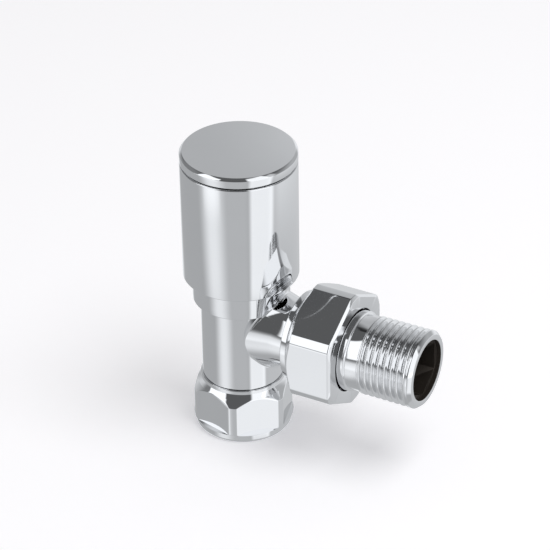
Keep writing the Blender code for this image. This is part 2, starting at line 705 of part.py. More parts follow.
def build_washer_screw(parts, cutters):
    """Slotted screw that holds the seat washer in the jumper."""
    head_top = SEAT_TOP_Z
    head_bottom = head_top - WASHER_SCREW_HEAD_HEIGHT
    outline = [
        (0.0, WASHER_SCREW_TOP_Z),
        (WASHER_SCREW_R, WASHER_SCREW_TOP_Z - GAP),
        (WASHER_SCREW_R, head_top),
        (WASHER_SCREW_HEAD_R, head_top),
        (WASHER_SCREW_HEAD_R, head_bottom + GAP),
        (WASHER_SCREW_HEAD_R - GAP, head_bottom),
        (0.0, head_bottom),
    ]
    screw = turn("washer_screw", outline, parts, closed=False, steps=SMALL_STEPS)
    slot_size = (WASHER_SCREW_HEAD_R * SLOT_LENGTH_RADII, SLOT_WIDTH, SLOT_DEPTH * 2.0)
    slot = block("washer_screw_slot", slot_size, (0.0, 0.0, head_bottom), cutters)
    combine(screw, slot, "DIFFERENCE")
    return finish_part(screw, STEEL)


def build_knob_sleeve(parts):
    """Plated tube of the head, its skirt sliding over the body's boss."""
    groove_top = SNAP_GROOVE_Z + SNAP_GROOVE_WIDTH
    outline = [
        (SLEEVE_BORE_R, SLEEVE_TOP_Z),
        (HEAD_R - HEAD_EDGE, SLEEVE_TOP_Z),
        (HEAD_R, SLEEVE_TOP_Z - HEAD_EDGE),
        (HEAD_R, HEAD_BOTTOM_Z + HEAD_EDGE),
        (HEAD_R - HEAD_EDGE, HEAD_BOTTOM_Z),
        (SKIRT_BORE_R + HEAD_EDGE, HEAD_BOTTOM_Z),
        (SKIRT_BORE_R, HEAD_BOTTOM_Z + HEAD_EDGE),
        (SKIRT_BORE_R, SLEEVE_LEDGE_Z),
        (SLEEVE_BORE_R, SLEEVE_LEDGE_Z),
        (SLEEVE_BORE_R, SNAP_GROOVE_Z),
        (SNAP_GROOVE_R, SNAP_GROOVE_Z),
        (SNAP_GROOVE_R, groove_top),
        (SLEEVE_BORE_R, groove_top),
    ]
    return finish_part(turn("knob_sleeve", outline, parts), CHROME)


def build_knob_hub(parts, cutters):
    """Moulded hub with a square socket for the spindle."""
    outline = [
        (HUB_SCREW_HOLE_R, HUB_TOP_Z),
        (HUB_R, HUB_TOP_Z),
        (HUB_R, SLEEVE_LEDGE_Z + GAP),
        (HUB_RIM_BORE_R, SLEEVE_LEDGE_Z + GAP),
        (HUB_RIM_BORE_R, HUB_TOP_Z - HUB_WEB),
        (HUB_BOSS_R, HUB_TOP_Z - HUB_WEB),
        (HUB_BOSS_R, HUB_BOSS_Z),
        (HUB_SCREW_HOLE_R, HUB_BOSS_Z),
    ]
    hub = turn("knob_hub", outline, parts, steps=SMALL_STEPS)
    rib_top = HUB_TOP_Z - HUB_WEB / 2.0
    rib_size = (HUB_RIM_BORE_R + HUB_R, HUB_RIB_WIDTH, rib_top - HUB_RIB_Z)
    for index in range(HUB_RIBS):
        rib = block(f"hub_rib_{index}", rib_size, (0.0, 0.0, (rib_top + HUB_RIB_Z) / 2.0),
                    cutters, 180.0 * index / HUB_RIBS + HUB_RIB_TURN_DEG)
        combine(hub, rib, "UNION")
    socket_side = SPINDLE_SQUARE + 2.0 * GAP
    socket_top = HUB_TOP_Z - HUB_ROOF
    socket_size = (socket_side, socket_side, (socket_top - HUB_BOSS_Z) * 2.0)
    socket = block("hub_socket", socket_size, (0.0, 0.0, HUB_BOSS_Z), cutters)
    combine(hub, socket, "DIFFERENCE")
    return finish_part(hub, NYLON)


def build_hub_snap_ring(parts, cutters):
    """Spring ring that keeps the hub down in the sleeve."""
    middle = SNAP_GROOVE_Z + SNAP_GROOVE_WIDTH / 2.0
    outline = plain_ring(SNAP_RING_R, SNAP_RING_BORE_R, middle - SNAP_RING_THICKNESS / 2.0,
                         middle + SNAP_RING_THICKNESS / 2.0)
    ring = turn("hub_snap_ring", outline, parts, steps=SMALL_STEPS)
    opening_size = (SNAP_RING_R, SNAP_RING_OPENING, SNAP_RING_THICKNESS * SNAP_RING_CUT_HEIGHTS)
    opening = block("snap_ring_opening", opening_size, (-SNAP_RING_R, 0.0, middle), cutters)
    combine(ring, opening, "DIFFERENCE")
    return finish_part(ring, STEEL)


def build_knob_screw_washer(parts):
    """Washer under the knob screw."""
    low = HUB_TOP_Z + GAP
    outline = plain_ring(KNOB_WASHER_R, HUB_SCREW_HOLE_R, low, low + KNOB_WASHER_THICKNESS)
    washer = turn("knob_screw_washer", outline, parts, steps=SMALL_STEPS)
    return finish_part(washer, STEEL)


def build_knob_screw(parts, cutters):
    """Cross-head screw holding the hub on the spindle."""
    head_top = KNOB_SCREW_HEAD_Z + KNOB_SCREW_HEAD_HEIGHT
    outline = [
        (0.0, head_top),
        (KNOB_SCREW_HEAD_R * KNOB_SCREW_CROWN_SHARE, head_top - GAP / 2.0),
        (KNOB_SCREW_HEAD_R, head_top - KNOB_SCREW_HEAD_HEIGHT / 2.0),
        (KNOB_SCREW_HEAD_R, KNOB_SCREW_HEAD_Z),
        (KNOB_SCREW_R, KNOB_SCREW_HEAD_Z),
        (KNOB_SCREW_R, KNOB_SCREW_BOTTOM_Z + GAP),
        (0.0, KNOB_SCREW_BOTTOM_Z),
    ]
    screw = turn("knob_screw", outline, parts, closed=False, steps=SMALL_STEPS)
    slot_size = (KNOB_SCREW_HEAD_R * KNOB_SLOT_LENGTH_RADII, SLOT_WIDTH, KNOB_SCREW_HEAD_HEIGHT)
    for index, angle in enumerate((0.0, 90.0)):
        slot = block(f"knob_screw_slot_{index}", slot_size, (0.0, 0.0, head_top), cutters, angle)
        combine(screw, slot, "DIFFERENCE")
    return finish_part(screw, STEEL)


def build_knob_top_disc(parts):
    """Plated cap: bevelled disc over a dark neck, with a skirt pushed into the sleeve."""
    groove_top = GRIP_GROOVE_Z + GRIP_GROOVE_WIDTH
    outline = [
        (0.0, DISC_TOP_Z),
        (HEAD_R - DISC_BEVEL, DISC_TOP_Z),
        (HEAD_R, DISC_TOP_Z - DISC_BEVEL),
        (HEAD_R, DISC_BAND_Z + HEAD_EDGE),
        (HEAD_R - HEAD_EDGE, DISC_BAND_Z),
        (DISC_NECK_R, DISC_BAND_Z),
        (DISC_NECK_R, SLEEVE_TOP_Z + GAP),
        (HUB_R, SLEEVE_TOP_Z + GAP),
        (HUB_R, groove_top),
        (GRIP_GROOVE_R, groove_top),
        (GRIP_GROOVE_R, GRIP_GROOVE_Z),
        (HUB_R, GRIP_GROOVE_Z),
        (HUB_R, DISC_SKIRT_Z + HEAD_EDGE),
        (HUB_R - HEAD_EDGE, DISC_SKIRT_Z),
        (DISC_SKIRT_BORE_R, DISC_SKIRT_Z),
        (DISC_SKIRT_BORE_R, DISC_ROOF_Z),
        (0.0, DISC_ROOF_Z),
    ]
    return finish_part(turn("knob_top_disc", outline, parts, closed=False), CHROME)


def build_disc_grip_ring(parts):
    """Rubber ring that holds the top disc in the sleeve."""
    centre = GRIP_GROOVE_Z + GRIP_GROOVE_WIDTH / 2.0
    outline = ring_outline(GRIP_RING_R, centre, GRIP_RING_SECTION_R)
    return finish_part(turn("disc_grip_ring", outline, parts, steps=SMALL_STEPS), RUBBER)


def main():
    """Build every sub-part of the valve."""
    clear_scene()
    parts = new_collection(ASSEMBLY_NAME)
    cutters = new_collection("cutters")
    build_valve_body(parts, cutters)
    build_compression_nut(parts, cutters)
    build_compression_olive(parts)
    build_union_nut(parts, cutters)
    build_union_tailpiece(parts, cutters)
    build_tail_o_ring(parts)
    build_bonnet(parts, cutters)
    build_bonnet_washer(parts)
    build_gland_nut(parts, cutters)
    build_gland_packing(parts)
    build_gland_follower(parts)
    build_spindle(parts, cutters)
    build_valve_jumper(parts)
    build_seat_washer(parts)
    build_washer_screw(parts, cutters)
    build_knob_sleeve(parts)
    build_knob_hub(parts, cutters)
    build_hub_snap_ring(parts, cutters)
    build_knob_screw_washer(parts)
    build_knob_screw(parts, cutters)
    build_knob_top_disc(parts)
    build_disc_grip_ring(parts)


main()
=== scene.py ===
"""Studio model of an angled manual radiator valve, dressed in finely turned metal.

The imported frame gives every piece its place. Lengths in the tables below are in millimetres.
"""
import math

import bmesh
import bpy
from mathutils import Matrix, Vector


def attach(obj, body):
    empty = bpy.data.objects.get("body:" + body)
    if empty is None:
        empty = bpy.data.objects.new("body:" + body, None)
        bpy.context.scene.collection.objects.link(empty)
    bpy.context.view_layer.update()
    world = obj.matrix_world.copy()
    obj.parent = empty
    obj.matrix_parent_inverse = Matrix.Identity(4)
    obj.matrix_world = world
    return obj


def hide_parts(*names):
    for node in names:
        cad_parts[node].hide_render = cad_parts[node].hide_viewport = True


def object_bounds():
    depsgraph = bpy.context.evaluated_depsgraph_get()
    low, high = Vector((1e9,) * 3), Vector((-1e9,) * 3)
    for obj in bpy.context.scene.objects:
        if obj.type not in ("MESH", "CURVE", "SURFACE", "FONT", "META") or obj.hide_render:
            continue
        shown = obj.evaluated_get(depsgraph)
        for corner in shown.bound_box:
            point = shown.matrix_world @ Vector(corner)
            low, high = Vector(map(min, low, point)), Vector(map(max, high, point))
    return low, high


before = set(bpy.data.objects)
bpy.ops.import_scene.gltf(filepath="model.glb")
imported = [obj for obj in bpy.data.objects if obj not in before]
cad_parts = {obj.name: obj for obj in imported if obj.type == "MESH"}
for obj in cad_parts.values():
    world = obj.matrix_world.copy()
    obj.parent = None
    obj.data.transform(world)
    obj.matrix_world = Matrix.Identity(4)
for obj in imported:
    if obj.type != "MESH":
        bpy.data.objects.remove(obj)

bl_info = {
    "name": "Angled radiator valve",
    "version": (1, 0, 0),
    "blender": (4, 5, 0),
    "location": "3D View > Sidebar > Valve",
    "description": "Turned, threaded and plated pieces of an angled radiator valve",
    "category": "Object",
}

CAD_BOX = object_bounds()
MM = 0.001
ARM_Z = 31.7
TURN_STEPS = 180
BORE_STEPS = 140
BORE_START = 0.0131
CORNER_STEPS = 5
ROWS_PER_PITCH = 30
SHARP_ANGLE = math.radians(24.0)
THREAD_SHARP_ANGLE = math.radians(80.0)
STRAIGHT = math.radians(4.0)
WELD = 0.0000005
LEAST_RISE = 0.02
FLATS = 6
HALF_SECTOR = math.pi / FLATS
RIGHT_ANGLE = math.pi / 2.0

# Degrees from the middle of a flat: lines crowd together where the flat meets the round land.
FLAT_LINES = (0.0, 3.0, 6.0, 9.0, 12.0, 15.0, 18.0, 21.0, 23.4)
LAND_LINES = (-1.2, -0.7, -0.35, 0.0, 0.35, 0.7, 1.2, 2.2)


def length(label, text, default):
    """Length setting of a piece, given in millimetres."""
    return bpy.props.FloatProperty(name=label, description=text, default=default * MM,
                                   min=0.0, subtype="DISTANCE", unit="LENGTH", precision=5)


def angle(label, text, default):
    """Angle setting of a piece, given in degrees."""
    return bpy.props.FloatProperty(name=label, description=text, default=math.radians(default),
                                   subtype="ANGLE", unit="ROTATION")


def colour(label, text, default):
    """Colour setting of a finish."""
    return bpy.props.FloatVectorProperty(name=label, description=text, default=default,
                                         min=0.0, max=1.0, size=3, subtype="COLOR")


def share(label, text, default, low=0.0, high=1.0):
    """Plain number setting."""
    return bpy.props.FloatProperty(name=label, description=text, default=default, min=low,
                                   max=high, subtype="FACTOR", precision=4)


class ValveBodySizes(bpy.types.PropertyGroup):
    barrel_radius: length("Barrel radius", "Radius of the upright barrel", 10.84)
    boss_radius: length("Boss radius", "Radius of the wider boss under the head", 12.85)
    arm_radius: length("Arm radius", "Radius of the plain side arm", 9.0)
    blend_radius: length("Blend radius", "Fillet where the arm grows out of the barrel", 2.2)
    shoulder_radius: length("Shoulder radius", "Radius of the ring behind the union nut", 12.1)
    edge: length("Edge rounding", "Rounding of the turned edges", 0.25)


class ValveNutSizes(bpy.types.PropertyGroup):
    inlet_across_flats: length("Inlet nut across flats", "Spanner size of the inlet nut", 24.3)
    inlet_land: length("Inlet nut corner radius", "Radius of the rounded corners", 13.5)
    inlet_turn: angle("Inlet nut turn", "Bearing of the first flat", 15.9)
    union_across_flats: length("Union nut across flats", "Spanner size of the union nut", 29.5)
    union_land: length("Union nut corner radius", "Radius of the rounded corners", 16.37)
    union_turn: angle("Union nut turn", "Bearing of the first flat", 30.0)
    front_bevel: length("Front bevel", "Bevel round the union nut's front face", 0.55)
    crease: length("Crease rounding", "Softness of the milled edges", 0.3)


class ValveThreadSizes(bpy.types.PropertyGroup):
    union_pitch: length("Union pitch", "Pitch of the union and tail threads", 1.814)
    inlet_pitch: length("Inlet pitch", "Pitch of the inlet thread", 1.5)
    depth: length("Tail thread depth", "Height of the tail's thread", 1.16)
    fade: length("Run-out", "Length over which a thread fades out", 0.8)
    phase: share("Start", "Where round the tail the thread starts", 0.0)


class ValveHeadSizes(bpy.types.PropertyGroup):
    edge: length("Edge rounding", "Rounding of the head's edges", 0.18)


class ValveFinishes(bpy.types.PropertyGroup):
    chrome: colour("Chrome", "Colour of the polished plating", (0.87, 0.875, 0.885))
    # Bore: dull unplated metal, whose near-black colour paints in the shade of the holes.
    bore: colour("Bore", "Colour of the unplated waterways", (0.06, 0.05, 0.042))
    brass: colour("Brass", "Colour of turned brass", (0.72, 0.53, 0.25))
    steel: colour("Steel", "Colour of bright steel", (0.55, 0.56, 0.58))
    rubber: colour("Rubber", "Colour of the rings and seat washer", (0.03, 0.03, 0.03))
    fibre: colour("Fibre", "Colour of the bonnet washer", (0.42, 0.11, 0.08))
    packing: colour("Packing", "Colour of the gland packing", (0.86, 0.86, 0.84))
    nylon: colour("Nylon", "Colour of the moulded hub", (0.30, 0.31, 0.33))


class ValveStudio(bpy.types.PropertyGroup):
    floor: colour("Floor", "Colour of the paper floor", (0.93, 0.925, 0.945))
    floor_glow: share("Floor glow", "Light that comes up through the paper", 0.27, 0.0, 2.0)
    key_power: bpy.props.FloatProperty(name="Key light", description="Power of the key light",
                                       default=2.6, min=0.0, unit="POWER")
    surround: share("Surround", "Strength of the light tent", 1.0, 0.0, 4.0)


# ---------------------------------------------------------------- node helpers

def wire(tree, socket, value):
    """Feed an input with another node's output or with a plain value."""
    if isinstance(value, bpy.types.NodeSocket):
        tree.links.new(value, socket)
    else:
        socket.default_value = value


def add(tree, kind, inputs=None, **settings):
    """New node with its settings and inputs filled in."""
    node = tree.nodes.new(kind)
    for key, value in settings.items():
        setattr(node, key, value)
    for key, value in (inputs or {}).items():
        wire(tree, node.inputs[key], value)
    return node


def calc(tree, operation, *terms):
    """Math node on one to three terms."""
    node = tree.nodes.new("ShaderNodeMath")
    node.operation = operation
    for index, term in enumerate(terms):
        wire(tree, node.inputs[index], term)
    return node.outputs[0]


def sockets(tree, inputs, outputs):
    """Named inputs and outputs of a tree, with the defaults of its inputs."""
    for label, kind, default in inputs:
        socket = tree.interface.new_socket(name=label, in_out="INPUT", socket_type=kind)
        if default is not None:
            socket.default_value = default
    for label, kind in outputs:
        tree.interface.new_socket(name=label, in_out="OUTPUT", socket_type=kind)
    return tree.nodes.new("NodeGroupInput").outputs, tree.nodes.new("NodeGroupOutput").inputs


def cylindrical(tree):
    """Radius, angle and height of each point about the local Z axis."""
    position = tree.nodes.new("GeometryNodeInputPosition").outputs[0]
    parts = add(tree, "ShaderNodeSeparateXYZ", {0: position}).outputs
    square = calc(tree, "ADD", calc(tree, "MULTIPLY", parts[0], parts[0]),
                  calc(tree, "MULTIPLY", parts[1], parts[1]))
    return calc(tree, "SQRT", square), calc(tree, "ARCTAN2", parts[1], parts[0]), parts


def close_tree(tree, source, radius, new_radius, chosen, parts, material, result):
    """Move the chosen points to their new radius, then set the material."""
    scale = calc(tree, "DIVIDE", new_radius, calc(tree, "MAXIMUM", radius, WELD))
    place = add(tree, "ShaderNodeCombineXYZ", {0: calc(tree, "MULTIPLY", parts[0], scale),
                                               1: calc(tree, "MULTIPLY", parts[1], scale),
                                               2: parts[2]}).outputs[0]
    moved = add(tree, "GeometryNodeSetPosition",
                {"Geometry": source, "Selection": chosen, "Position": place}).outputs[0]
    real = add(tree, "GeometryNodeRealizeInstances", {"Geometry": moved}).outputs[0]
    tree.links.new(add(tree, "GeometryNodeSetMaterial",
                       {"Geometry": real, "Material": material}).outputs[0], result)


def hexagon_tree():
    """Mills evenly spaced flats on a turned blank, with softened creases."""
    tree = bpy.data.node_groups.new("milled flats", "GeometryNodeTree")
    given, result = sockets(tree, (
        ("Blank", "NodeSocketGeometry", None), ("Flats", "NodeSocketFloat", 6.0),
        ("Across flats", "NodeSocketFloat", 0.02), ("Turn", "NodeSocketFloat", 0.0),
        ("Start", "NodeSocketFloat", -1.0), ("Bevel start", "NodeSocketFloat", 1.0),
        ("Bevel height", "NodeSocketFloat", 0.001), ("Bevel depth", "NodeSocketFloat", 0.0),
        ("Crease", "NodeSocketFloat", 0.0002), ("Material", "NodeSocketMaterial", None),
    ), (("Nut", "NodeSocketGeometry"),))
    radius, bearing, parts = cylindrical(tree)
    half = calc(tree, "DIVIDE", math.pi, given["Flats"])
    from_flat = calc(tree, "WRAP", calc(tree, "SUBTRACT", bearing, given["Turn"]), half,
                     calc(tree, "MULTIPLY", half, -1.0))
    climb = calc(tree, "DIVIDE", calc(tree, "SUBTRACT", parts[2], given["Bevel start"]),
                 given["Bevel height"])
    climb.node.use_clamp = True
    reach = calc(tree, "SUBTRACT", calc(tree, "MULTIPLY", given["Across flats"], 0.5),
                 calc(tree, "MULTIPLY", climb, given["Bevel depth"]))
    flat = calc(tree, "DIVIDE", reach, calc(tree, "COSINE", from_flat))
    new_radius = calc(tree, "SMOOTH_MIN", radius, flat, given["Crease"])
    chosen = add(tree, "FunctionNodeCompare", {"A": parts[2], "B": given["Start"]},
                 data_type="FLOAT", operation="GREATER_THAN").outputs[0]
    close_tree(tree, given["Blank"], radius, new_radius, chosen, parts, given["Material"],
               result["Nut"])
    return tree


def thread_tree():
    """Cuts a rounded right-hand thread into the outside of a turned blank."""
    tree = bpy.data.node_groups.new("screw thread", "GeometryNodeTree")
    given, result = sockets(tree, (
        ("Blank", "NodeSocketGeometry", None), ("Pitch", "NodeSocketFloat", 0.0018),
        ("Depth", "NodeSocketFloat", 0.001), ("Start", "NodeSocketFloat", 0.0),
        ("End", "NodeSocketFloat", 0.01), ("Fade", "NodeSocketFloat", 0.001),
        ("Core radius", "NodeSocketFloat", 0.01), ("Phase", "NodeSocketFloat", 0.0),
        ("Rows", "NodeSocketFloat", float(ROWS_PER_PITCH)),
        ("Material", "NodeSocketMaterial", None),
    ), (("Screw", "NodeSocketGeometry"),))
    radius, bearing, parts = cylindrical(tree)
    ends = [calc(tree, "DIVIDE", calc(tree, "SUBTRACT", parts[2], given["Start"]),
                 given["Fade"]),
            calc(tree, "DIVIDE", calc(tree, "SUBTRACT", given["End"], parts[2]),
                 given["Fade"])]
    for end in ends:
        end.node.use_clamp = True
    strength = calc(tree, "MULTIPLY", ends[0], ends[1])
    turned = calc(tree, "DIVIDE", bearing, math.tau)
    row_share = calc(tree, "FRACT", calc(tree, "MULTIPLY", turned, given["Rows"]))
    slide = calc(tree, "MULTIPLY", calc(tree, "DIVIDE", row_share, given["Rows"]),
                 given["Pitch"])
    height = calc(tree, "MULTIPLY_ADD", slide, strength, parts[2])
    turn = calc(tree, "SUBTRACT", calc(tree, "DIVIDE", height, given["Pitch"]), turned)
    wave = calc(tree, "COSINE", calc(tree, "MULTIPLY", math.tau,
                                     calc(tree, "ADD", turn, given["Phase"])))
    groove = calc(tree, "MULTIPLY_ADD", wave, -0.5, 0.5)
    cut = calc(tree, "MULTIPLY", strength, calc(tree, "MULTIPLY", groove, given["Depth"]))
    new_radius = calc(tree, "SUBTRACT", radius, cut)
    chosen = add(tree, "FunctionNodeCompare", {"A": radius, "B": given["Core radius"]},
                 data_type="FLOAT", operation="GREATER_THAN").outputs[0]
    close_tree(tree, given["Blank"], radius, new_radius, chosen,
               (parts[0], parts[1], height), given["Material"], result["Screw"])
    return tree


# ---------------------------------------------------------------- finishes

def grain_group():
    """Speckle, cloud and turning marks from a piece's own coordinates."""
    tree = bpy.data.node_groups.new("surface grain", "ShaderNodeTree")
    given, result = sockets(tree, (
        ("Tint", "NodeSocketColor", (0.8, 0.8, 0.8, 1.0)),
        ("Shade", "NodeSocketColor", (0.7, 0.7, 0.7, 1.0)),
        ("Speckle size", "NodeSocketFloat", 4000.0), ("Cloud size", "NodeSocketFloat", 120.0),
        ("Low roughness", "NodeSocketFloat", 0.1), ("High roughness", "NodeSocketFloat", 0.2),
        ("Turning marks", "NodeSocketFloat", 0.0), ("Mark spacing", "NodeSocketFloat", 9000.0),
    ), (("Colour", "NodeSocketColor"), ("Roughness", "NodeSocketFloat"),
        ("Height", "NodeSocketFloat")))
    where = tree.nodes.new("ShaderNodeTexCoord").outputs["Object"]
    cloud = add(tree, "ShaderNodeTexNoise", {"Vector": where, "Scale": given["Cloud size"],
                                             "Detail": 3.0}).outputs[0]
    speckle = add(tree, "ShaderNodeTexNoise", {"Vector": where, "Detail": 2.0,
                                               "Scale": given["Speckle size"]}).outputs[0]
    parts = add(tree, "ShaderNodeSeparateXYZ", {0: where}).outputs
    marks = calc(tree, "SINE", calc(tree, "MULTIPLY", parts[2], given["Mark spacing"]))
    even = add(tree, "ShaderNodeMapRange", {"Value": cloud, "From Min": 0.3,
                                            "From Max": 0.7}).outputs[0]
    tree.links.new(add(tree, "ShaderNodeMix", {0: even, 6: given["Tint"], 7: given["Shade"]},
                       data_type="RGBA").outputs[2], result["Colour"])
    spread = calc(tree, "SUBTRACT", given["High roughness"], given["Low roughness"])
    mottled = calc(tree, "MULTIPLY", calc(tree, "ADD", even, speckle), 0.5)
    tree.links.new(calc(tree, "MULTIPLY_ADD", mottled, spread, given["Low roughness"]),
                   result["Roughness"])
    tree.links.new(calc(tree, "MULTIPLY_ADD", marks, given["Turning marks"], speckle),
                   result["Height"])
    return tree


def finish(name, tint, shade_share, roughness, metallic, grain, bump=0.1, **values):
    """Procedural finish: tint drifting to a shade, mottled roughness and fine relief."""
    material = bpy.data.materials.new(name)
    material.use_nodes = True
    tree = material.node_tree
    shader = tree.nodes["Principled BSDF"]
    shader.inputs["Metallic"].default_value = metallic
    node = add(tree, "ShaderNodeGroup", node_tree=grain)
    node.inputs["Tint"].default_value = (*tint, 1.0)
    node.inputs["Shade"].default_value = (*(part * shade_share for part in tint), 1.0)
    node.inputs["Low roughness"].default_value = roughness[0]
    node.inputs["High roughness"].default_value = roughness[1]
    for key, value in values.items():
        node.inputs[key.replace("_", " ")].default_value = value
    relief = add(tree, "ShaderNodeBump", {"Height": node.outputs["Height"],
                                          "Strength": bump, "Distance": 0.00001})
    tree.links.new(node.outputs["Colour"], shader.inputs["Base Color"])
    tree.links.new(node.outputs["Roughness"], shader.inputs["Roughness"])
    tree.links.new(relief.outputs["Normal"], shader.inputs["Normal"])
    return material


def named(name):
    """Finish that the finishes operator has made."""
    material = bpy.data.materials.get(name)
    if material is None:
        raise RuntimeError(f"the finish {name} has not been made yet")
    return material


# ---------------------------------------------------------------- turned shapes

def softened(outline, radius, closed=True):
    """Outline with its corners rounded; a third value on a point is its own radius."""
    points = [Vector((point[0], point[1])) for point in outline]
    radii = [point[2] if len(point) > 2 else radius for point in outline]
    count = len(points)
    soft = []
    for index, point in enumerate(points):
        if point.x < WELD / MM or (not closed and index in (0, count - 1)):
            soft.append(tuple(point))
            continue
        before = points[index - 1] - point
        after = points[(index + 1) % count] - point
        bend = math.pi - before.angle(after)
        cut = min(radii[index] * math.tan(bend / 2.0), before.length * 0.45,
                  after.length * 0.45)
        if bend < STRAIGHT or cut <= 0.0:
            soft.append(tuple(point))
            continue
        start = point + before.normalized() * cut
        stop = point + after.normalized() * cut
        steps = max(2, round(CORNER_STEPS * bend / RIGHT_ANGLE))
        for step in range(steps + 1):
            part = step / steps
            spot = start.lerp(point, part).lerp(point.lerp(stop, part), part)
            soft.append(tuple(spot))
    return soft


def ruled(outline, spans):
    """Outline with extra points at even heights within the spans (from, to, steps)."""
    dense = []
    count = len(outline)
    for index, (radius, height) in enumerate(outline):
        dense.append((radius, height))
        far_radius, far_height = outline[(index + 1) % count]
        rise = far_height - height
        if abs(rise) < LEAST_RISE:
            continue
        levels = [low + (high - low) * step / steps
                  for low, high, steps in spans for step in range(steps + 1)]
        last = 0.0
        for climb in sorted((level - height) * math.copysign(1.0, rise) for level in levels):
            if last + LEAST_RISE < climb < abs(rise) - LEAST_RISE:
                last = climb
                part = climb / abs(rise)
                dense.append((radius + (far_radius - radius) * part, height + rise * part))
    return dense


def even_bearings(steps=TURN_STEPS, start=0.0):
    """Evenly spaced angles round the axis."""
    return [start + math.tau * step / steps for step in range(steps)]


def hexagon_bearings(land_degrees, turn):
    """Angles round the axis that crowd at the borders between flats and lands."""
    side = list(FLAT_LINES) + [land_degrees + line for line in LAND_LINES]
    side = sorted(line for line in side if line < math.degrees(HALF_SECTOR))
    full = [-line for line in reversed(side) if line > 0.0] + side
    full.append(math.degrees(HALF_SECTOR))
    return [turn + math.tau * flat / FLATS + math.radians(line)
            for flat in range(FLATS) for line in full]


def turned_mesh(name, outline, bearings):
    """Mesh of an outline carried round the local Z axis, closed at the axis."""
    mesh = bpy.data.meshes.new(name)
    work = bmesh.new()
    rings = []
    for radius, height in outline:
        if radius < WELD / MM:
            rings.append([work.verts.new((0.0, 0.0, height * MM))])
            continue
        rings.append([work.verts.new((radius * MM * math.cos(turn), radius * MM * math.sin(turn),
                                      height * MM)) for turn in bearings])
    for ring, following in zip(rings, rings[1:] + rings[:1]):
        join_rings(work, ring, following)
    bmesh.ops.recalc_face_normals(work, faces=work.faces)
    work.to_mesh(mesh)
    work.free()
    return mesh


def join_rings(work, ring, following):
    """Band of faces between two neighbouring rings, either of which may be a pole."""
    count = max(len(ring), len(following))
    if count == 1:
        return
    for index in range(count):
        after = (index + 1) % count
        if len(ring) == 1:
            work.faces.new((ring[0], following[index], following[after]))
        elif len(following) == 1:
            work.faces.new((ring[index], following[0], ring[after]))
        else:
            work.faces.new((ring[index], following[index], following[after], ring[after]))


def new_object(name, mesh):
    """Object for a mesh, linked to the scene."""
    item = bpy.data.objects.new(name, mesh)
    bpy.context.scene.collection.objects.link(item)
    return item


def run_tree(item, tree, values):
    """Add a node tree to an object with its inputs set by socket identifier."""
    step = item.modifiers.new(tree.name, "NODES")
    step.node_group = tree
    for socket in tree.interface.items_tree:
        if socket.in_out == "INPUT" and socket.name in values:
            step[socket.identifier] = values[socket.name]


def settle(item):
    """Turn the evaluated object into a plain mesh without modifiers."""
    graph = bpy.context.evaluated_depsgraph_get()
    mesh = bpy.data.meshes.new_from_object(item.evaluated_get(graph))
    item.modifiers.clear()
    old = item.data
    item.data = mesh
    bpy.data.meshes.remove(old)
    mesh.name = item.name
    return item


def lay_along_arm(item):
    """Bring a mesh turned about Z onto the side arm's axis."""
    item.data.transform(Matrix.Translation((0.0, 0.0, ARM_Z * MM))
                        @ Matrix.Rotation(RIGHT_ANGLE, 4, "Y"))
    return item


def shade(item, material, sharp=SHARP_ANGLE):
    """Smooth shading with sharp edges kept, and the piece's finish."""
    mesh = item.data
    mesh.shade_smooth()
    mesh.set_sharp_from_angle(angle=sharp)
    mesh.materials.clear()
    mesh.materials.append(material)
    return item


def paint_shade_in_arm_bore(item, reach):
    """Painted shade: a near-black dull finish on faces near the side arm's axis, except those
    that look outwards.
    """
    mesh = item.data
    mesh.materials.append(named("painted bore shade"))
    for face in mesh.polygons:
        across = Vector((0.0, face.center.y / MM, face.center.z / MM - ARM_Z))
        outward = face.normal.dot(across)
        if across.length < reach and outward < INWARD_SHARE * across.length:
            face.material_index = 1


def combine(item, tool, operation):
    """Join or cut one closed shape with another, which is used up."""
    step = item.modifiers.new(tool.name, "BOOLEAN")
    step.operation = operation
    step.solver = "MANIFOLD"
    step.object = tool
    settle(item)
    bpy.data.objects.remove(tool, do_unlink=True)
    return item


def hand_over(item, body, node):
    """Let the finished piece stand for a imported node."""
    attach(item, body)
    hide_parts(node)


def node_outline(node, along_arm=False):
    """Half section of a plainly turned node, read at its first facet edge."""
    work = bmesh.new()
    work.from_mesh(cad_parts[node].data)
    if along_arm:
        turn_back = Matrix.Rotation(-RIGHT_ANGLE, 4, "Y")
        work.transform(turn_back @ Matrix.Translation((0.0, 0.0, -ARM_Z * MM)))
    bmesh.ops.remove_doubles(work, verts=work.verts, dist=WELD)
    for normal, clear in (((0.0, 1.0, 0.0), False), ((1.0, 0.0, 0.0), True)):
        bmesh.ops.bisect_plane(work, geom=[*work.verts, *work.edges, *work.faces], dist=WELD,
                               plane_co=(0.0, 0.0, 0.0), plane_no=normal, clear_inner=clear)
    flat = [edge for edge in work.edges
            if all(abs(vert.co.y) < WELD for vert in edge.verts)]
    chain = [flat[0].verts[0], flat[0].verts[1]]
    used = {flat[0]}
    while True:
        following = [edge for edge in chain[-1].link_edges
                     if edge not in used and all(abs(v.co.y) < WELD for v in edge.verts)]
        if not following:
            break
        used.add(following[0])
        chain.append(following[0].other_vert(chain[-1]))
    outline = [(vert.co.x / MM, vert.co.z / MM) for vert in chain]
    work.free()
    return outline


def turned_piece(name, node, body, material, edge, along_arm=False):
    """Finely turned stand-in for a plainly turned node."""
    outline = softened(straightened(node_outline(node, along_arm)), edge)
    item = new_object(name, turned_mesh(name, outline, even_bearings()))
    if along_arm:
        lay_along_arm(item)
    shade(item, material)
    hand_over(item, body, node)
    return item


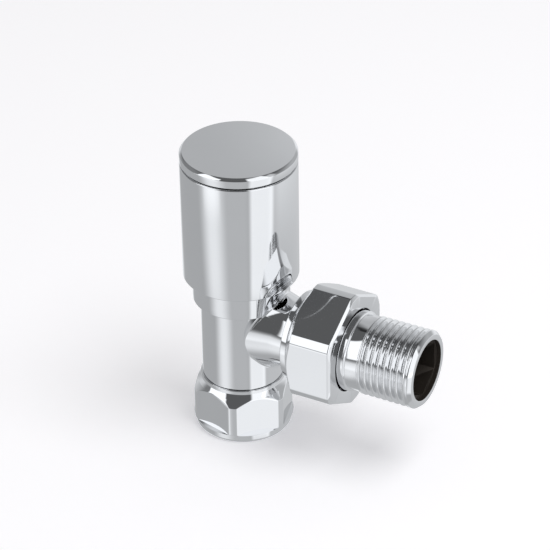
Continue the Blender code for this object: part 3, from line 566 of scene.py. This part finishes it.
def straightened(chain):
    """Drop repeated and in-line points, so that each corner can be rounded."""
    points = [Vector(point) for point in chain]
    clean = []
    for point in points:
        if not clean or (point - clean[-1]).length > WELD / MM:
            clean.append(point)
    if (clean[0] - clean[-1]).length <= WELD / MM:
        clean.pop()
    count = len(clean)
    kept = []
    for index, point in enumerate(clean):
        before = point - clean[index - 1]
        after = clean[(index + 1) % count] - point
        if before.angle(after) > math.radians(1.0) or point.x < WELD / MM:
            kept.append((max(point.x, 0.0), point.y))
    return kept


# ---------------------------------------------------------------- valve body

BODY_TOP_Z = 51.0
BOSS_CHAMFER = 0.4
BOSS_BOTTOM_Z = 39.2
BARREL_BOTTOM_Z = 15.6
PIPE_THREAD_R = 10.2
PIPE_THREAD_LEAD = (9.8, 6.7)
BODY_BOTTOM_Z = 5.9
ARM_END = 29.0
UNION_THREAD_R = 13.22
UNION_THREAD_LEAD = 0.8
RELIEF_R = 11.5
RELIEF = (19.4, 20.2)
SHOULDER_START = 17.6
UPRIGHT_WATERWAY = (
    (0.0, 53.0), (9.9, 53.0), (9.9, 41.0), (9.2, 40.2), (9.2, 25.0), (6.8, 25.0),
    (6.8, 26.0), (5.2, 26.0), (5.2, 18.0), (7.75, 18.0), (7.75, 7.5), (9.3, 5.9),
    (9.3, 3.9), (0.0, 3.9),
)
ARM_WATERWAY = ((0.0, 31.0), (8.35, 31.0), (8.35, 25.6), (6.0, 25.6), (6.0, 7.0), (0.0, 7.0))
PIPE_THREAD = (5.9, 15.4)
PIPE_THREAD_DEPTH = 0.7
PIPE_THREAD_FADE = 0.8
PIPE_CORE_R = 9.0
UNION_THREAD = (20.2, 29.0)
UNION_THREAD_FADE = 0.6
UNION_CORE_R = 11.6
BARREL_ROWS = (15.0, 39.3, 20)
BOSS_ROWS = (39.3, 50.7, 6)
WATERWAY_EDGE = 0.1
ROW_MARGIN = 0.1

# The arm's hidden root starts inside the barrel wall and narrows to a stub.
WALL_OVERLAP = 0.01
PLAIN_SHARES = (0.25, 0.5, 0.75)
FILLET_STEPS = 12
ROOT_SHRINK = 0.96
STUB_REACH = 0.7
STUB_SPREAD = 0.6
STUB_Z = 2.0


def body_outside(sizes):
    """Half section of the boss, barrel and pipe thread."""
    boss = sizes.boss_radius / MM
    barrel = sizes.barrel_radius / MM
    return (
        (0.0, BODY_TOP_Z), (boss - BOSS_CHAMFER, BODY_TOP_Z),
        (boss, BODY_TOP_Z - BOSS_CHAMFER), (boss, BOSS_BOTTOM_Z),
        (barrel, BOSS_BOTTOM_Z), (barrel, BARREL_BOTTOM_Z),
        (PIPE_THREAD_R, BARREL_BOTTOM_Z), (PIPE_THREAD_R, PIPE_THREAD_LEAD[1]),
        (PIPE_THREAD_LEAD[0], BODY_BOTTOM_Z), (0.0, BODY_BOTTOM_Z),
    )


def arm_outside(sizes):
    """Half section of the union thread, its relief, the shoulder and the plain arm."""
    shoulder = sizes.shoulder_radius / MM
    return (
        (0.0, ARM_END), (UNION_THREAD_R - UNION_THREAD_LEAD, ARM_END),
        (UNION_THREAD_R, ARM_END - UNION_THREAD_LEAD), (UNION_THREAD_R, RELIEF[1]),
        (RELIEF_R, RELIEF[1]), (RELIEF_R, RELIEF[0]), (shoulder, RELIEF[0]),
        (shoulder, SHOULDER_START), (sizes.arm_radius / MM, SHOULDER_START),
    )


def thread_rows(span, pitch):
    """Rule a threaded length at a whole number of rows to each pitch."""
    rise = pitch / ROWS_PER_PITCH
    start = span[0] - ROW_MARGIN
    steps = math.ceil((span[1] + ROW_MARGIN - start) / rise)
    return (start, start + steps * rise, steps)


def blended_arm(name, sizes, outline):
    """Side arm whose root flows into the barrel along a rolling-ball fillet."""
    barrel = sizes.barrel_radius / MM + WALL_OVERLAP
    arm = sizes.arm_radius / MM
    ball = sizes.blend_radius / MM
    mesh = bpy.data.meshes.new(name)
    work = bmesh.new()
    columns = [arm_column(turn, barrel, arm, ball, outline) for turn in even_bearings()]
    rings = [[work.verts.new(Vector(column[row]) * MM) for column in columns]
             for row in range(len(columns[0]))]
    for ring, following in zip(rings, rings[1:]):
        join_rings(work, ring, following)
    work.faces.new(rings[0])
    work.faces.new(rings[-1])
    bmesh.ops.recalc_face_normals(work, faces=work.faces)
    work.to_mesh(mesh)
    work.free()
    return new_object(name, mesh)


def arm_column(turn, barrel, arm, ball, outline):
    """One lengthwise line of the arm: turned part, plain part, fillet and hidden root."""
    side = math.sin(turn)
    level = math.cos(turn)
    column = [(radius * level, radius * side, height) for radius, height in outline]
    centre = Vector(((arm + ball) * level, (arm + ball) * side, 0.0))
    centre.z = math.sqrt((barrel + ball) ** 2 - centre.y ** 2)
    to_arm = Vector((-level, -side, 0.0)) * ball
    to_barrel = Vector((0.0, -centre.y, -centre.z)).normalized() * ball
    last = outline[-1][1]
    for part in PLAIN_SHARES:
        column.append((arm * level, arm * side, last + (centre.z - last) * part))
    for step in range(FILLET_STEPS + 1):
        column.append(tuple(centre + to_arm.slerp(to_barrel, step / FILLET_STEPS)))
    edge = centre + to_barrel
    column.append((edge.x, edge.y * ROOT_SHRINK, edge.z * ROOT_SHRINK))
    column.append((edge.x * STUB_REACH, edge.y * STUB_SPREAD, STUB_Z))
    return column


def make_body(context):
    """Barrel, boss and blended arm with their threads, bored for water and bonnet."""
    sizes = context.scene.valve_body_sizes
    threads = context.scene.valve_thread_sizes
    material = named("polished chrome")
    edge = sizes.edge / MM
    outside = softened(body_outside(sizes), edge, closed=False)
    outside = ruled(outside, (thread_rows(PIPE_THREAD, threads.inlet_pitch / MM),
                              BARREL_ROWS, BOSS_ROWS))
    body = new_object("body_casting", turned_mesh("body_casting", outside, even_bearings()))
    run_tree(body, bpy.data.node_groups["screw thread"], {
        "Pitch": threads.inlet_pitch, "Depth": PIPE_THREAD_DEPTH * MM,
        "Start": PIPE_THREAD[0] * MM, "End": PIPE_THREAD[1] * MM,
        "Fade": PIPE_THREAD_FADE * MM, "Core radius": PIPE_CORE_R * MM, "Material": material})
    settle(body)
    arm_outline = softened(arm_outside(sizes), edge, closed=False)
    arm_outline = ruled(arm_outline, (thread_rows(UNION_THREAD, threads.union_pitch / MM),))
    arm = blended_arm("arm_casting", sizes, arm_outline[1:])
    run_tree(arm, bpy.data.node_groups["screw thread"], {
        "Pitch": threads.union_pitch, "Depth": threads.depth, "Start": UNION_THREAD[0] * MM,
        "End": UNION_THREAD[1] * MM, "Fade": UNION_THREAD_FADE * MM,
        "Core radius": UNION_CORE_R * MM, "Material": material})
    combine(body, lay_along_arm(settle(arm)), "UNION")
    upright = softened(UPRIGHT_WATERWAY, WATERWAY_EDGE, closed=False)
    combine(body, new_object("upright_waterway", turned_mesh(
        "upright_waterway", upright, even_bearings(BORE_STEPS, BORE_START))), "DIFFERENCE")
    side = softened(ARM_WATERWAY, WATERWAY_EDGE, closed=False)
    combine(body, lay_along_arm(new_object("arm_waterway", turned_mesh(
        "arm_waterway", side, even_bearings(BORE_STEPS, BORE_START)))), "DIFFERENCE")
    shade(body, material, THREAD_SHARP_ANGLE)
    hand_over(body, "body", "valve_body")


# ---------------------------------------------------------------- nuts

INLET_NUT = (
    (10.5, 15.52), (11.3, 15.52), (11.3, 14.5), (12.1, 13.2), (13.5, 11.3), (13.5, 2.6),
    (12.9, 2.35, 0.3), (12.9, 0.7, 0.5), (12.4, 0.0), (7.75, 0.0), (7.75, 2.2), (9.4, 3.9),
    (10.5, 3.9),
)
UNION_NUT = (
    (11.26, 33.58), (15.35, 33.58, 0.3), (16.37, 33.0, 0.3), (16.37, 22.0), (13.95, 20.4),
    (13.52, 20.4),
    (13.52, 31.2), (11.26, 31.2),
)
PLATED_EDGE = 0.2

# Rows that the milled flats need: lower end, upper end and count.
INLET_NUT_ROWS = ((11.2, 13.6, 30), (2.6, 11.3, 6))
UNION_NUT_ROWS = ((20.3, 22.1, 26), (32.5, 33.6, 12), (22.0, 33.0, 6))
INLET_FLATS_Z = 2.55
UNION_BEVEL_START = 32.9
UNION_BEVEL_HEIGHT = 0.68
EVERYWHERE = -1.0


def land_start(across_flats, land):
    """Degrees from the middle of a flat to where the round land takes over."""
    return math.degrees(math.acos(min(1.0, across_flats / 2.0 / land)))


def make_inlet_nut(context):
    """Compression nut with milled flats over a round rim."""
    sizes = context.scene.valve_nut_sizes
    outline = ruled(softened(INLET_NUT, PLATED_EDGE), INLET_NUT_ROWS)
    bearings = hexagon_bearings(land_start(sizes.inlet_across_flats, sizes.inlet_land),
                                sizes.inlet_turn)
    nut = new_object("inlet_nut_plated", turned_mesh("inlet_nut_plated", outline, bearings))
    run_tree(nut, bpy.data.node_groups["milled flats"], {
        "Flats": float(FLATS), "Across flats": sizes.inlet_across_flats,
        "Turn": sizes.inlet_turn, "Start": INLET_FLATS_Z * MM, "Crease": sizes.crease,
        "Material": named("polished chrome")})
    settle(nut)
    shade(nut, named("polished chrome"))
    hand_over(nut, "inlet_nut", "compression_nut")


def make_union_nut(context):
    """Union nut with milled flats, a bevelled front and a turned back."""
    sizes = context.scene.valve_nut_sizes
    outline = ruled(softened(UNION_NUT, PLATED_EDGE), UNION_NUT_ROWS)
    bearings = hexagon_bearings(land_start(sizes.union_across_flats, sizes.union_land),
                                sizes.union_turn)
    nut = new_object("union_nut_plated", turned_mesh("union_nut_plated", outline, bearings))
    run_tree(nut, bpy.data.node_groups["milled flats"], {
        "Flats": float(FLATS), "Across flats": sizes.union_across_flats,
        "Turn": sizes.union_turn, "Start": EVERYWHERE,
        "Bevel start": UNION_BEVEL_START * MM, "Bevel height": UNION_BEVEL_HEIGHT * MM,
        "Bevel depth": sizes.front_bevel, "Crease": sizes.crease,
        "Material": named("polished chrome")})
    lay_along_arm(settle(nut))
    shade(nut, named("polished chrome"))
    hand_over(nut, "union", "union_nut")


# ---------------------------------------------------------------- tailpiece

TAIL_OUTSIDE = (
    (8.16, 54.4), (9.6, 54.4), (10.4775, 53.4), (10.4775, 39.0), (10.2, 38.9), (10.2, 35.5),
    (10.8, 35.3), (10.8, 30.7), (12.9, 30.7), (12.9, 29.4), (8.05, 29.4), (8.05, 28.6),
    (6.9, 28.6), (6.9, 27.0), (8.05, 27.0), (8.05, 26.2), (7.75, 25.9), (5.4, 25.9),
    (5.4, 30.5), (6.8, 31.5), (6.8, 53.0), (8.16, 53.0),
)
TAIL_THREAD = (39.0, 52.9)
TAIL_CORE_R = 9.9

# Key socket: across flats, where it starts and where its cutter ends.
TAIL_KEY = (14.0, 44.0, 53.7)
# Faces within this reach of the arm's axis that do not look outwards get the painted bore shade.
TAIL_SHADE_REACH = 8.25
INWARD_SHARE = 0.5

OLIVE_EDGE = 0.15
JUMPER_EDGE = 0.12
RUBBER_EDGE = 0.2


def make_tail(context):
    """Tailpiece with its fading thread and the broached key socket."""
    threads = context.scene.valve_thread_sizes
    material = named("polished chrome")
    outline = ruled(softened(TAIL_OUTSIDE, PLATED_EDGE),
                    (thread_rows(TAIL_THREAD, threads.union_pitch / MM),))
    tail = new_object("tail_plated", turned_mesh("tail_plated", outline,
                                                 even_bearings(start=BORE_START)))
    run_tree(tail, bpy.data.node_groups["screw thread"], {
        "Pitch": threads.union_pitch, "Depth": threads.depth, "Start": TAIL_THREAD[0] * MM,
        "End": TAIL_THREAD[1] * MM, "Fade": threads.fade, "Core radius": TAIL_CORE_R * MM,
        "Phase": threads.phase, "Material": material})
    settle(tail)
    width, low, high = TAIL_KEY
    reach = width / 2.0 / math.cos(HALF_SECTOR)
    key = ((0.0, high), (reach, high), (reach, low), (0.0, low))
    combine(tail, new_object("key_socket", turned_mesh("key_socket", key,
                                                       even_bearings(FLATS))), "DIFFERENCE")
    shade(lay_along_arm(tail), material, THREAD_SHARP_ANGLE)
    paint_shade_in_arm_bore(tail, TAIL_SHADE_REACH)
    hand_over(tail, "tail", "union_tailpiece")


# ---------------------------------------------------------------- operators

class VALVE_OT_finishes(bpy.types.Operator):
    """Make the finishes and the node trees that the pieces use"""

    bl_idname = "valve.finishes"
    bl_label = "Finishes"

    def execute(self, context):
        tints = context.scene.valve_finishes
        grain = grain_group()
        hexagon_tree()
        thread_tree()
        finish("polished chrome", tints.chrome, 0.985, (0.025, 0.06), 1.0, grain, bump=0.02,
               Speckle_size=2500.0, Cloud_size=90.0)
        # Painted shade: near-black dull metal for the tail's bore and key socket.
        finish("painted bore shade", tints.bore, 0.7, (0.45, 0.6), 0.6, grain, bump=0.3)
        finish("turned brass", tints.brass, 0.82, (0.22, 0.36), 1.0, grain, bump=0.35,
               Turning_marks=0.6, Mark_spacing=22000.0)
        finish("bright steel", tints.steel, 0.85, (0.22, 0.34), 1.0, grain, bump=0.25,
               Turning_marks=0.4)
        finish("black rubber", tints.rubber, 0.6, (0.6, 0.85), 0.0, grain, bump=0.5)
        finish("red fibre", tints.fibre, 0.7, (0.7, 0.9), 0.0, grain, bump=0.8,
               Speckle_size=1800.0)
        finish("white packing", tints.packing, 0.93, (0.45, 0.6), 0.0, grain, bump=0.3)
        finish("grey nylon", tints.nylon, 0.88, (0.42, 0.55), 0.0, grain, bump=0.3)
        return {"FINISHED"}


class VALVE_OT_body(bpy.types.Operator):
    """Cast, thread and bore the valve body"""

    bl_idname = "valve.body"
    bl_label = "Body"

    def execute(self, context):
        make_body(context)
        return {"FINISHED"}


class VALVE_OT_nuts(bpy.types.Operator):
    """Turn and mill the compression nut and the union nut"""

    bl_idname = "valve.nuts"
    bl_label = "Nuts"

    def execute(self, context):
        make_inlet_nut(context)
        make_union_nut(context)
        return {"FINISHED"}


class VALVE_OT_tail(bpy.types.Operator):
    """Turn and thread the union tailpiece"""

    bl_idname = "valve.tail"
    bl_label = "Tailpiece"

    def execute(self, context):
        make_tail(context)
        return {"FINISHED"}


class VALVE_OT_head(bpy.types.Operator):
    """Turn the head's sleeve and its top disc"""

    bl_idname = "valve.head"
    bl_label = "Head"

    def execute(self, context):
        edge = context.scene.valve_head_sizes.edge / MM
        chrome = named("polished chrome")
        turned_piece("head_sleeve", "knob_sleeve", "head", chrome, edge)
        turned_piece("head_disc", "knob_top_disc", "head", chrome, edge)
        return {"FINISHED"}


class VALVE_OT_rings(bpy.types.Operator):
    """Turn the small round pieces that show through the openings"""

    bl_idname = "valve.rings"
    bl_label = "Olive, jumper and seals"

    def execute(self, context):
        brass = named("turned brass")
        rubber = named("black rubber")
        turned_piece("olive_ring", "compression_olive", "olive", brass,
                     OLIVE_EDGE)
        turned_piece("jumper_plate", "valve_jumper", "plug", brass,
                     JUMPER_EDGE)
        turned_piece("seat_disc", "seat_washer", "plug", rubber, RUBBER_EDGE)
        turned_piece("tail_seal", "tail_o_ring", "tail", rubber, RUBBER_EDGE,
                     along_arm=True)
        return {"FINISHED"}


INNER_FINISHES = {
    "turned brass": ("bonnet", "gland_nut", "gland_follower", "spindle"),
    "bright steel": ("washer_screw", "hub_snap_ring", "knob_screw_washer", "knob_screw"),
    "black rubber": ("disc_grip_ring",),
    "red fibre": ("bonnet_washer",),
    "white packing": ("gland_packing",),
    "grey nylon": ("knob_hub",),
}


class VALVE_OT_inner(bpy.types.Operator):
    """Give the pieces inside the valve their finishes"""

    bl_idname = "valve.inner"
    bl_label = "Inner pieces"

    def execute(self, context):
        for label, nodes in INNER_FINISHES.items():
            for node in nodes:
                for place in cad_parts[node].material_slots:
                    place.material = named(label)
        return {"FINISHED"}


# ---------------------------------------------------------------- studio

# Camera: place and lens in millimetres, its turns in degrees, its nearest view in metres.
CAMERA_PLACE = (318.83, -565.895, 460.926)
CAMERA_BEARING = 28.614
CAMERA_HEIGHT_ANGLE = 32.644
CAMERA_ROLL = -0.826
CAMERA_LENS = 192.28
CAMERA_SENSOR = 36.0
CAMERA_NEAREST = 0.05

# Light cards: bearing, height, width and depth in degrees, soft edge, strength.
LIGHT_CARDS = (
    (-128.0, 30.5, 44.0, 49.0, 4.0, 1.10),
    (-18.0, 29.5, 46.0, 69.0, 8.0, 1.02),
    (12.0, 45.0, 18.0, 16.0, 10.0, 0.50),
    (60.0, 5.0, 100.0, 60.0, 30.0, 0.34),
    (119.0, 28.0, 56.0, 60.0, 20.0, 0.38),
    (-170.0, 22.0, 50.0, 40.0, 24.0, 0.12),
    (165.0, 0.0, 50.0, 24.0, 16.0, 0.25),
    (152.0, 63.0, 26.0, 12.0, 6.0, -0.085),
    (-115.0, -30.0, 34.0, 44.0, 30.0, 0.48),
    (-115.0, -14.0, 34.0, 22.0, 8.0, 0.20),
    (128.0, -34.0, 18.0, 60.0, 28.0, 0.60),
    (-18.0, -24.0, 46.0, 44.0, 10.0, 0.55),
    (-72.0, -50.0, 60.0, 90.0, 24.0, 0.08),
    (55.0, -45.0, 110.0, 80.0, 20.0, 0.12),
)
CARD_SETTINGS = ("Card bearing", "Card height", "Card width", "Card depth", "Edge", "Strength")

# The tent is brighter below the horizon than above it, and faintly blue.
TENT_BELOW = 0.44
TENT_ABOVE = 0.11
TENT_FADE = (-6.0, 8.0)
TENT_RED = 0.955
TENT_GREEN = 0.975

# Plain light for the paper and for dull pieces, which see no cards.
DOME = (0.52, 0.515, 0.50, 1.0)
BACKDROP = (0.97, 0.97, 0.98, 1.0)

PAPER_HALF_WIDTH = 1.5
PAPER_SQUARES = 8
PAPER_ROUGHNESS = 0.9
PAPER_SHEEN = 0.1
PAPER_GLOW = (0.93, 0.935, 1.0, 1.0)

KEY_PLACE = (0.36, -0.05, 0.78)
KEY_WIDTH = 0.5
KEY_DEPTH = 0.4


def card_group():
    """Soft-edged rectangle of light at a bearing and height, in degrees."""
    tree = bpy.data.node_groups.new("light card", "ShaderNodeTree")
    labels = ("Bearing", "Height", *CARD_SETTINGS)
    given, result = sockets(tree, [(label, "NodeSocketFloat", 1.0) for label in labels],
                            (("Light", "NodeSocketFloat"),))
    turn = calc(tree, "WRAP", calc(tree, "SUBTRACT", given["Bearing"],
                                   given["Card bearing"]), 180.0, -180.0)
    lift = calc(tree, "SUBTRACT", given["Height"], given["Card height"])
    light = given["Strength"]
    half_edge = calc(tree, "MULTIPLY", given["Edge"], 0.5)
    for offset, size in ((turn, given["Card width"]), (lift, given["Card depth"])):
        half = calc(tree, "MULTIPLY", size, 0.5)
        inside = add(tree, "ShaderNodeMapRange", {
            "Value": calc(tree, "ABSOLUTE", offset),
            "From Min": calc(tree, "ADD", half, half_edge),
            "From Max": calc(tree, "SUBTRACT", half, half_edge),
        }, interpolation_type="SMOOTHSTEP").outputs[0]
        light = calc(tree, "MULTIPLY", light, inside)
    tree.links.new(light, result["Light"])
    return tree


def make_surround(strength):
    """Light tent for reflections, plain dome for dull faces, pale backdrop for the camera."""
    world = bpy.data.worlds.new("light tent")
    world.use_nodes = True
    tree = world.node_tree
    background = tree.nodes["Background"]
    ray = add(tree, "ShaderNodeSeparateXYZ",
              {0: tree.nodes.new("ShaderNodeTexCoord").outputs["Generated"]}).outputs
    bearing = calc(tree, "DEGREES", calc(tree, "ARCTAN2", ray[1], ray[0]))
    height = calc(tree, "DEGREES", calc(tree, "ARCSINE", ray[2]))
    light = add(tree, "ShaderNodeMapRange", {
        "Value": height, "From Min": TENT_FADE[0], "From Max": TENT_FADE[1],
        "To Min": TENT_BELOW, "To Max": TENT_ABOVE}, interpolation_type="SMOOTHSTEP").outputs[0]
    group = card_group()
    for card in LIGHT_CARDS:
        node = add(tree, "ShaderNodeGroup", node_tree=group)
        wire(tree, node.inputs["Bearing"], bearing)
        wire(tree, node.inputs["Height"], height)
        for label, value in zip(CARD_SETTINGS, card):
            node.inputs[label].default_value = value
        light = calc(tree, "ADD", light, node.outputs[0])
    tint = add(tree, "ShaderNodeCombineColor", {0: calc(tree, "MULTIPLY", light, TENT_RED),
                                                1: calc(tree, "MULTIPLY", light, TENT_GREEN),
                                                2: light}).outputs[0]
    ray_kind = tree.nodes.new("ShaderNodeLightPath").outputs
    mirrored = add(tree, "ShaderNodeMix", {0: ray_kind["Is Glossy Ray"], 6: DOME, 7: tint},
                   data_type="RGBA").outputs[2]
    mixed = add(tree, "ShaderNodeMix", {0: ray_kind["Is Camera Ray"], 6: mirrored,
                                        7: BACKDROP}, data_type="RGBA").outputs[2]
    tree.links.new(mixed, background.inputs["Color"])
    background.inputs["Strength"].default_value = strength
    bpy.context.scene.world = world


def make_floor(tint, glow):
    """Wide sheet of pale paper that glows faintly, left out of reflections."""
    mesh = bpy.data.meshes.new("paper_floor")
    work = bmesh.new()
    bmesh.ops.create_grid(work, x_segments=PAPER_SQUARES, y_segments=PAPER_SQUARES,
                          size=PAPER_HALF_WIDTH)
    work.to_mesh(mesh)
    work.free()
    floor = new_object("paper_floor", mesh)
    floor.location.z = CAD_BOX[0][2]
    floor.visible_glossy = False
    paper = bpy.data.materials.new("pale paper")
    paper.use_nodes = True
    tree = paper.node_tree
    shader = tree.nodes["Principled BSDF"]
    shader.inputs["Base Color"].default_value = (*tint, 1.0)
    shader.inputs["Roughness"].default_value = PAPER_ROUGHNESS
    shader.inputs["Specular IOR Level"].default_value = PAPER_SHEEN
    shader.inputs["Emission Color"].default_value = PAPER_GLOW
    shader.inputs["Emission Strength"].default_value = glow
    mesh.materials.append(paper)


def make_key_light(power):
    """Broad soft lamp high on the tail's side, felt on the paper but not mirrored."""
    lamp = bpy.data.lights.new("key_light", "AREA")
    lamp.shape = "RECTANGLE"
    lamp.size = KEY_WIDTH
    lamp.size_y = KEY_DEPTH
    lamp.energy = power
    item = new_object("key_light", lamp)
    item.location = KEY_PLACE
    item.rotation_euler = (-Vector(item.location)).to_track_quat("-Z", "Y").to_euler()
    item.visible_glossy = False


def make_camera():
    """Long lens looking down at the valve."""
    lens = bpy.data.cameras.new("camera")
    lens.lens = CAMERA_LENS
    lens.sensor_width = CAMERA_SENSOR
    lens.clip_start = CAMERA_NEAREST
    item = new_object("camera", lens)
    turn = (Matrix.Rotation(math.radians(CAMERA_BEARING), 4, "Z")
            @ Matrix.Rotation(math.radians(90.0 - CAMERA_HEIGHT_ANGLE), 4, "X")
            @ Matrix.Rotation(math.radians(CAMERA_ROLL), 4, "Z"))
    item.matrix_world = Matrix.Translation(Vector(CAMERA_PLACE) * MM) @ turn
    bpy.context.scene.camera = item


class VALVE_OT_studio(bpy.types.Operator):
    """Set the paper floor, the light tent, the key light and the camera"""

    bl_idname = "valve.studio"
    bl_label = "Studio"

    def execute(self, context):
        studio = context.scene.valve_studio
        make_surround(studio.surround)
        make_floor(studio.floor, studio.floor_glow)
        make_key_light(studio.key_power)
        make_camera()
        context.scene.view_settings.view_transform = "Standard"
        return {"FINISHED"}


SETTINGS = {
    "valve_body_sizes": ValveBodySizes,
    "valve_nut_sizes": ValveNutSizes,
    "valve_thread_sizes": ValveThreadSizes,
    "valve_head_sizes": ValveHeadSizes,
    "valve_finishes": ValveFinishes,
    "valve_studio": ValveStudio,
}
STEPS = (VALVE_OT_finishes, VALVE_OT_body, VALVE_OT_nuts, VALVE_OT_tail, VALVE_OT_head,
         VALVE_OT_rings, VALVE_OT_inner, VALVE_OT_studio)


class VALVE_PT_sidebar(bpy.types.Panel):
    """Steps and settings of the radiator valve"""

    bl_idname = "VALVE_PT_sidebar"
    bl_label = "Radiator valve"
    bl_space_type = "VIEW_3D"
    bl_region_type = "UI"
    bl_category = "Valve"

    def draw(self, context):
        for step in STEPS:
            self.layout.operator(step.bl_idname)
        for label in SETTINGS:
            group = getattr(context.scene, label)
            box = self.layout.box()
            for key in group.__annotations__:
                box.prop(group, key)


def register():
    """Register the settings, steps and panel."""
    for label, group in SETTINGS.items():
        bpy.utils.register_class(group)
        setattr(bpy.types.Scene, label, bpy.props.PointerProperty(type=group))
    for step in STEPS:
        bpy.utils.register_class(step)
    bpy.utils.register_class(VALVE_PT_sidebar)


def unregister():
    """Remove the panel, steps and settings."""
    bpy.utils.unregister_class(VALVE_PT_sidebar)
    for step in reversed(STEPS):
        bpy.utils.unregister_class(step)
    for label, group in SETTINGS.items():
        delattr(bpy.types.Scene, label)
        bpy.utils.unregister_class(group)


def main():
    """Make every piece and the stage."""
    register()
    for step in STEPS:
        family, name = step.bl_idname.split(".")
        getattr(getattr(bpy.ops, family), name)()


if __name__ == "__main__":
    main()
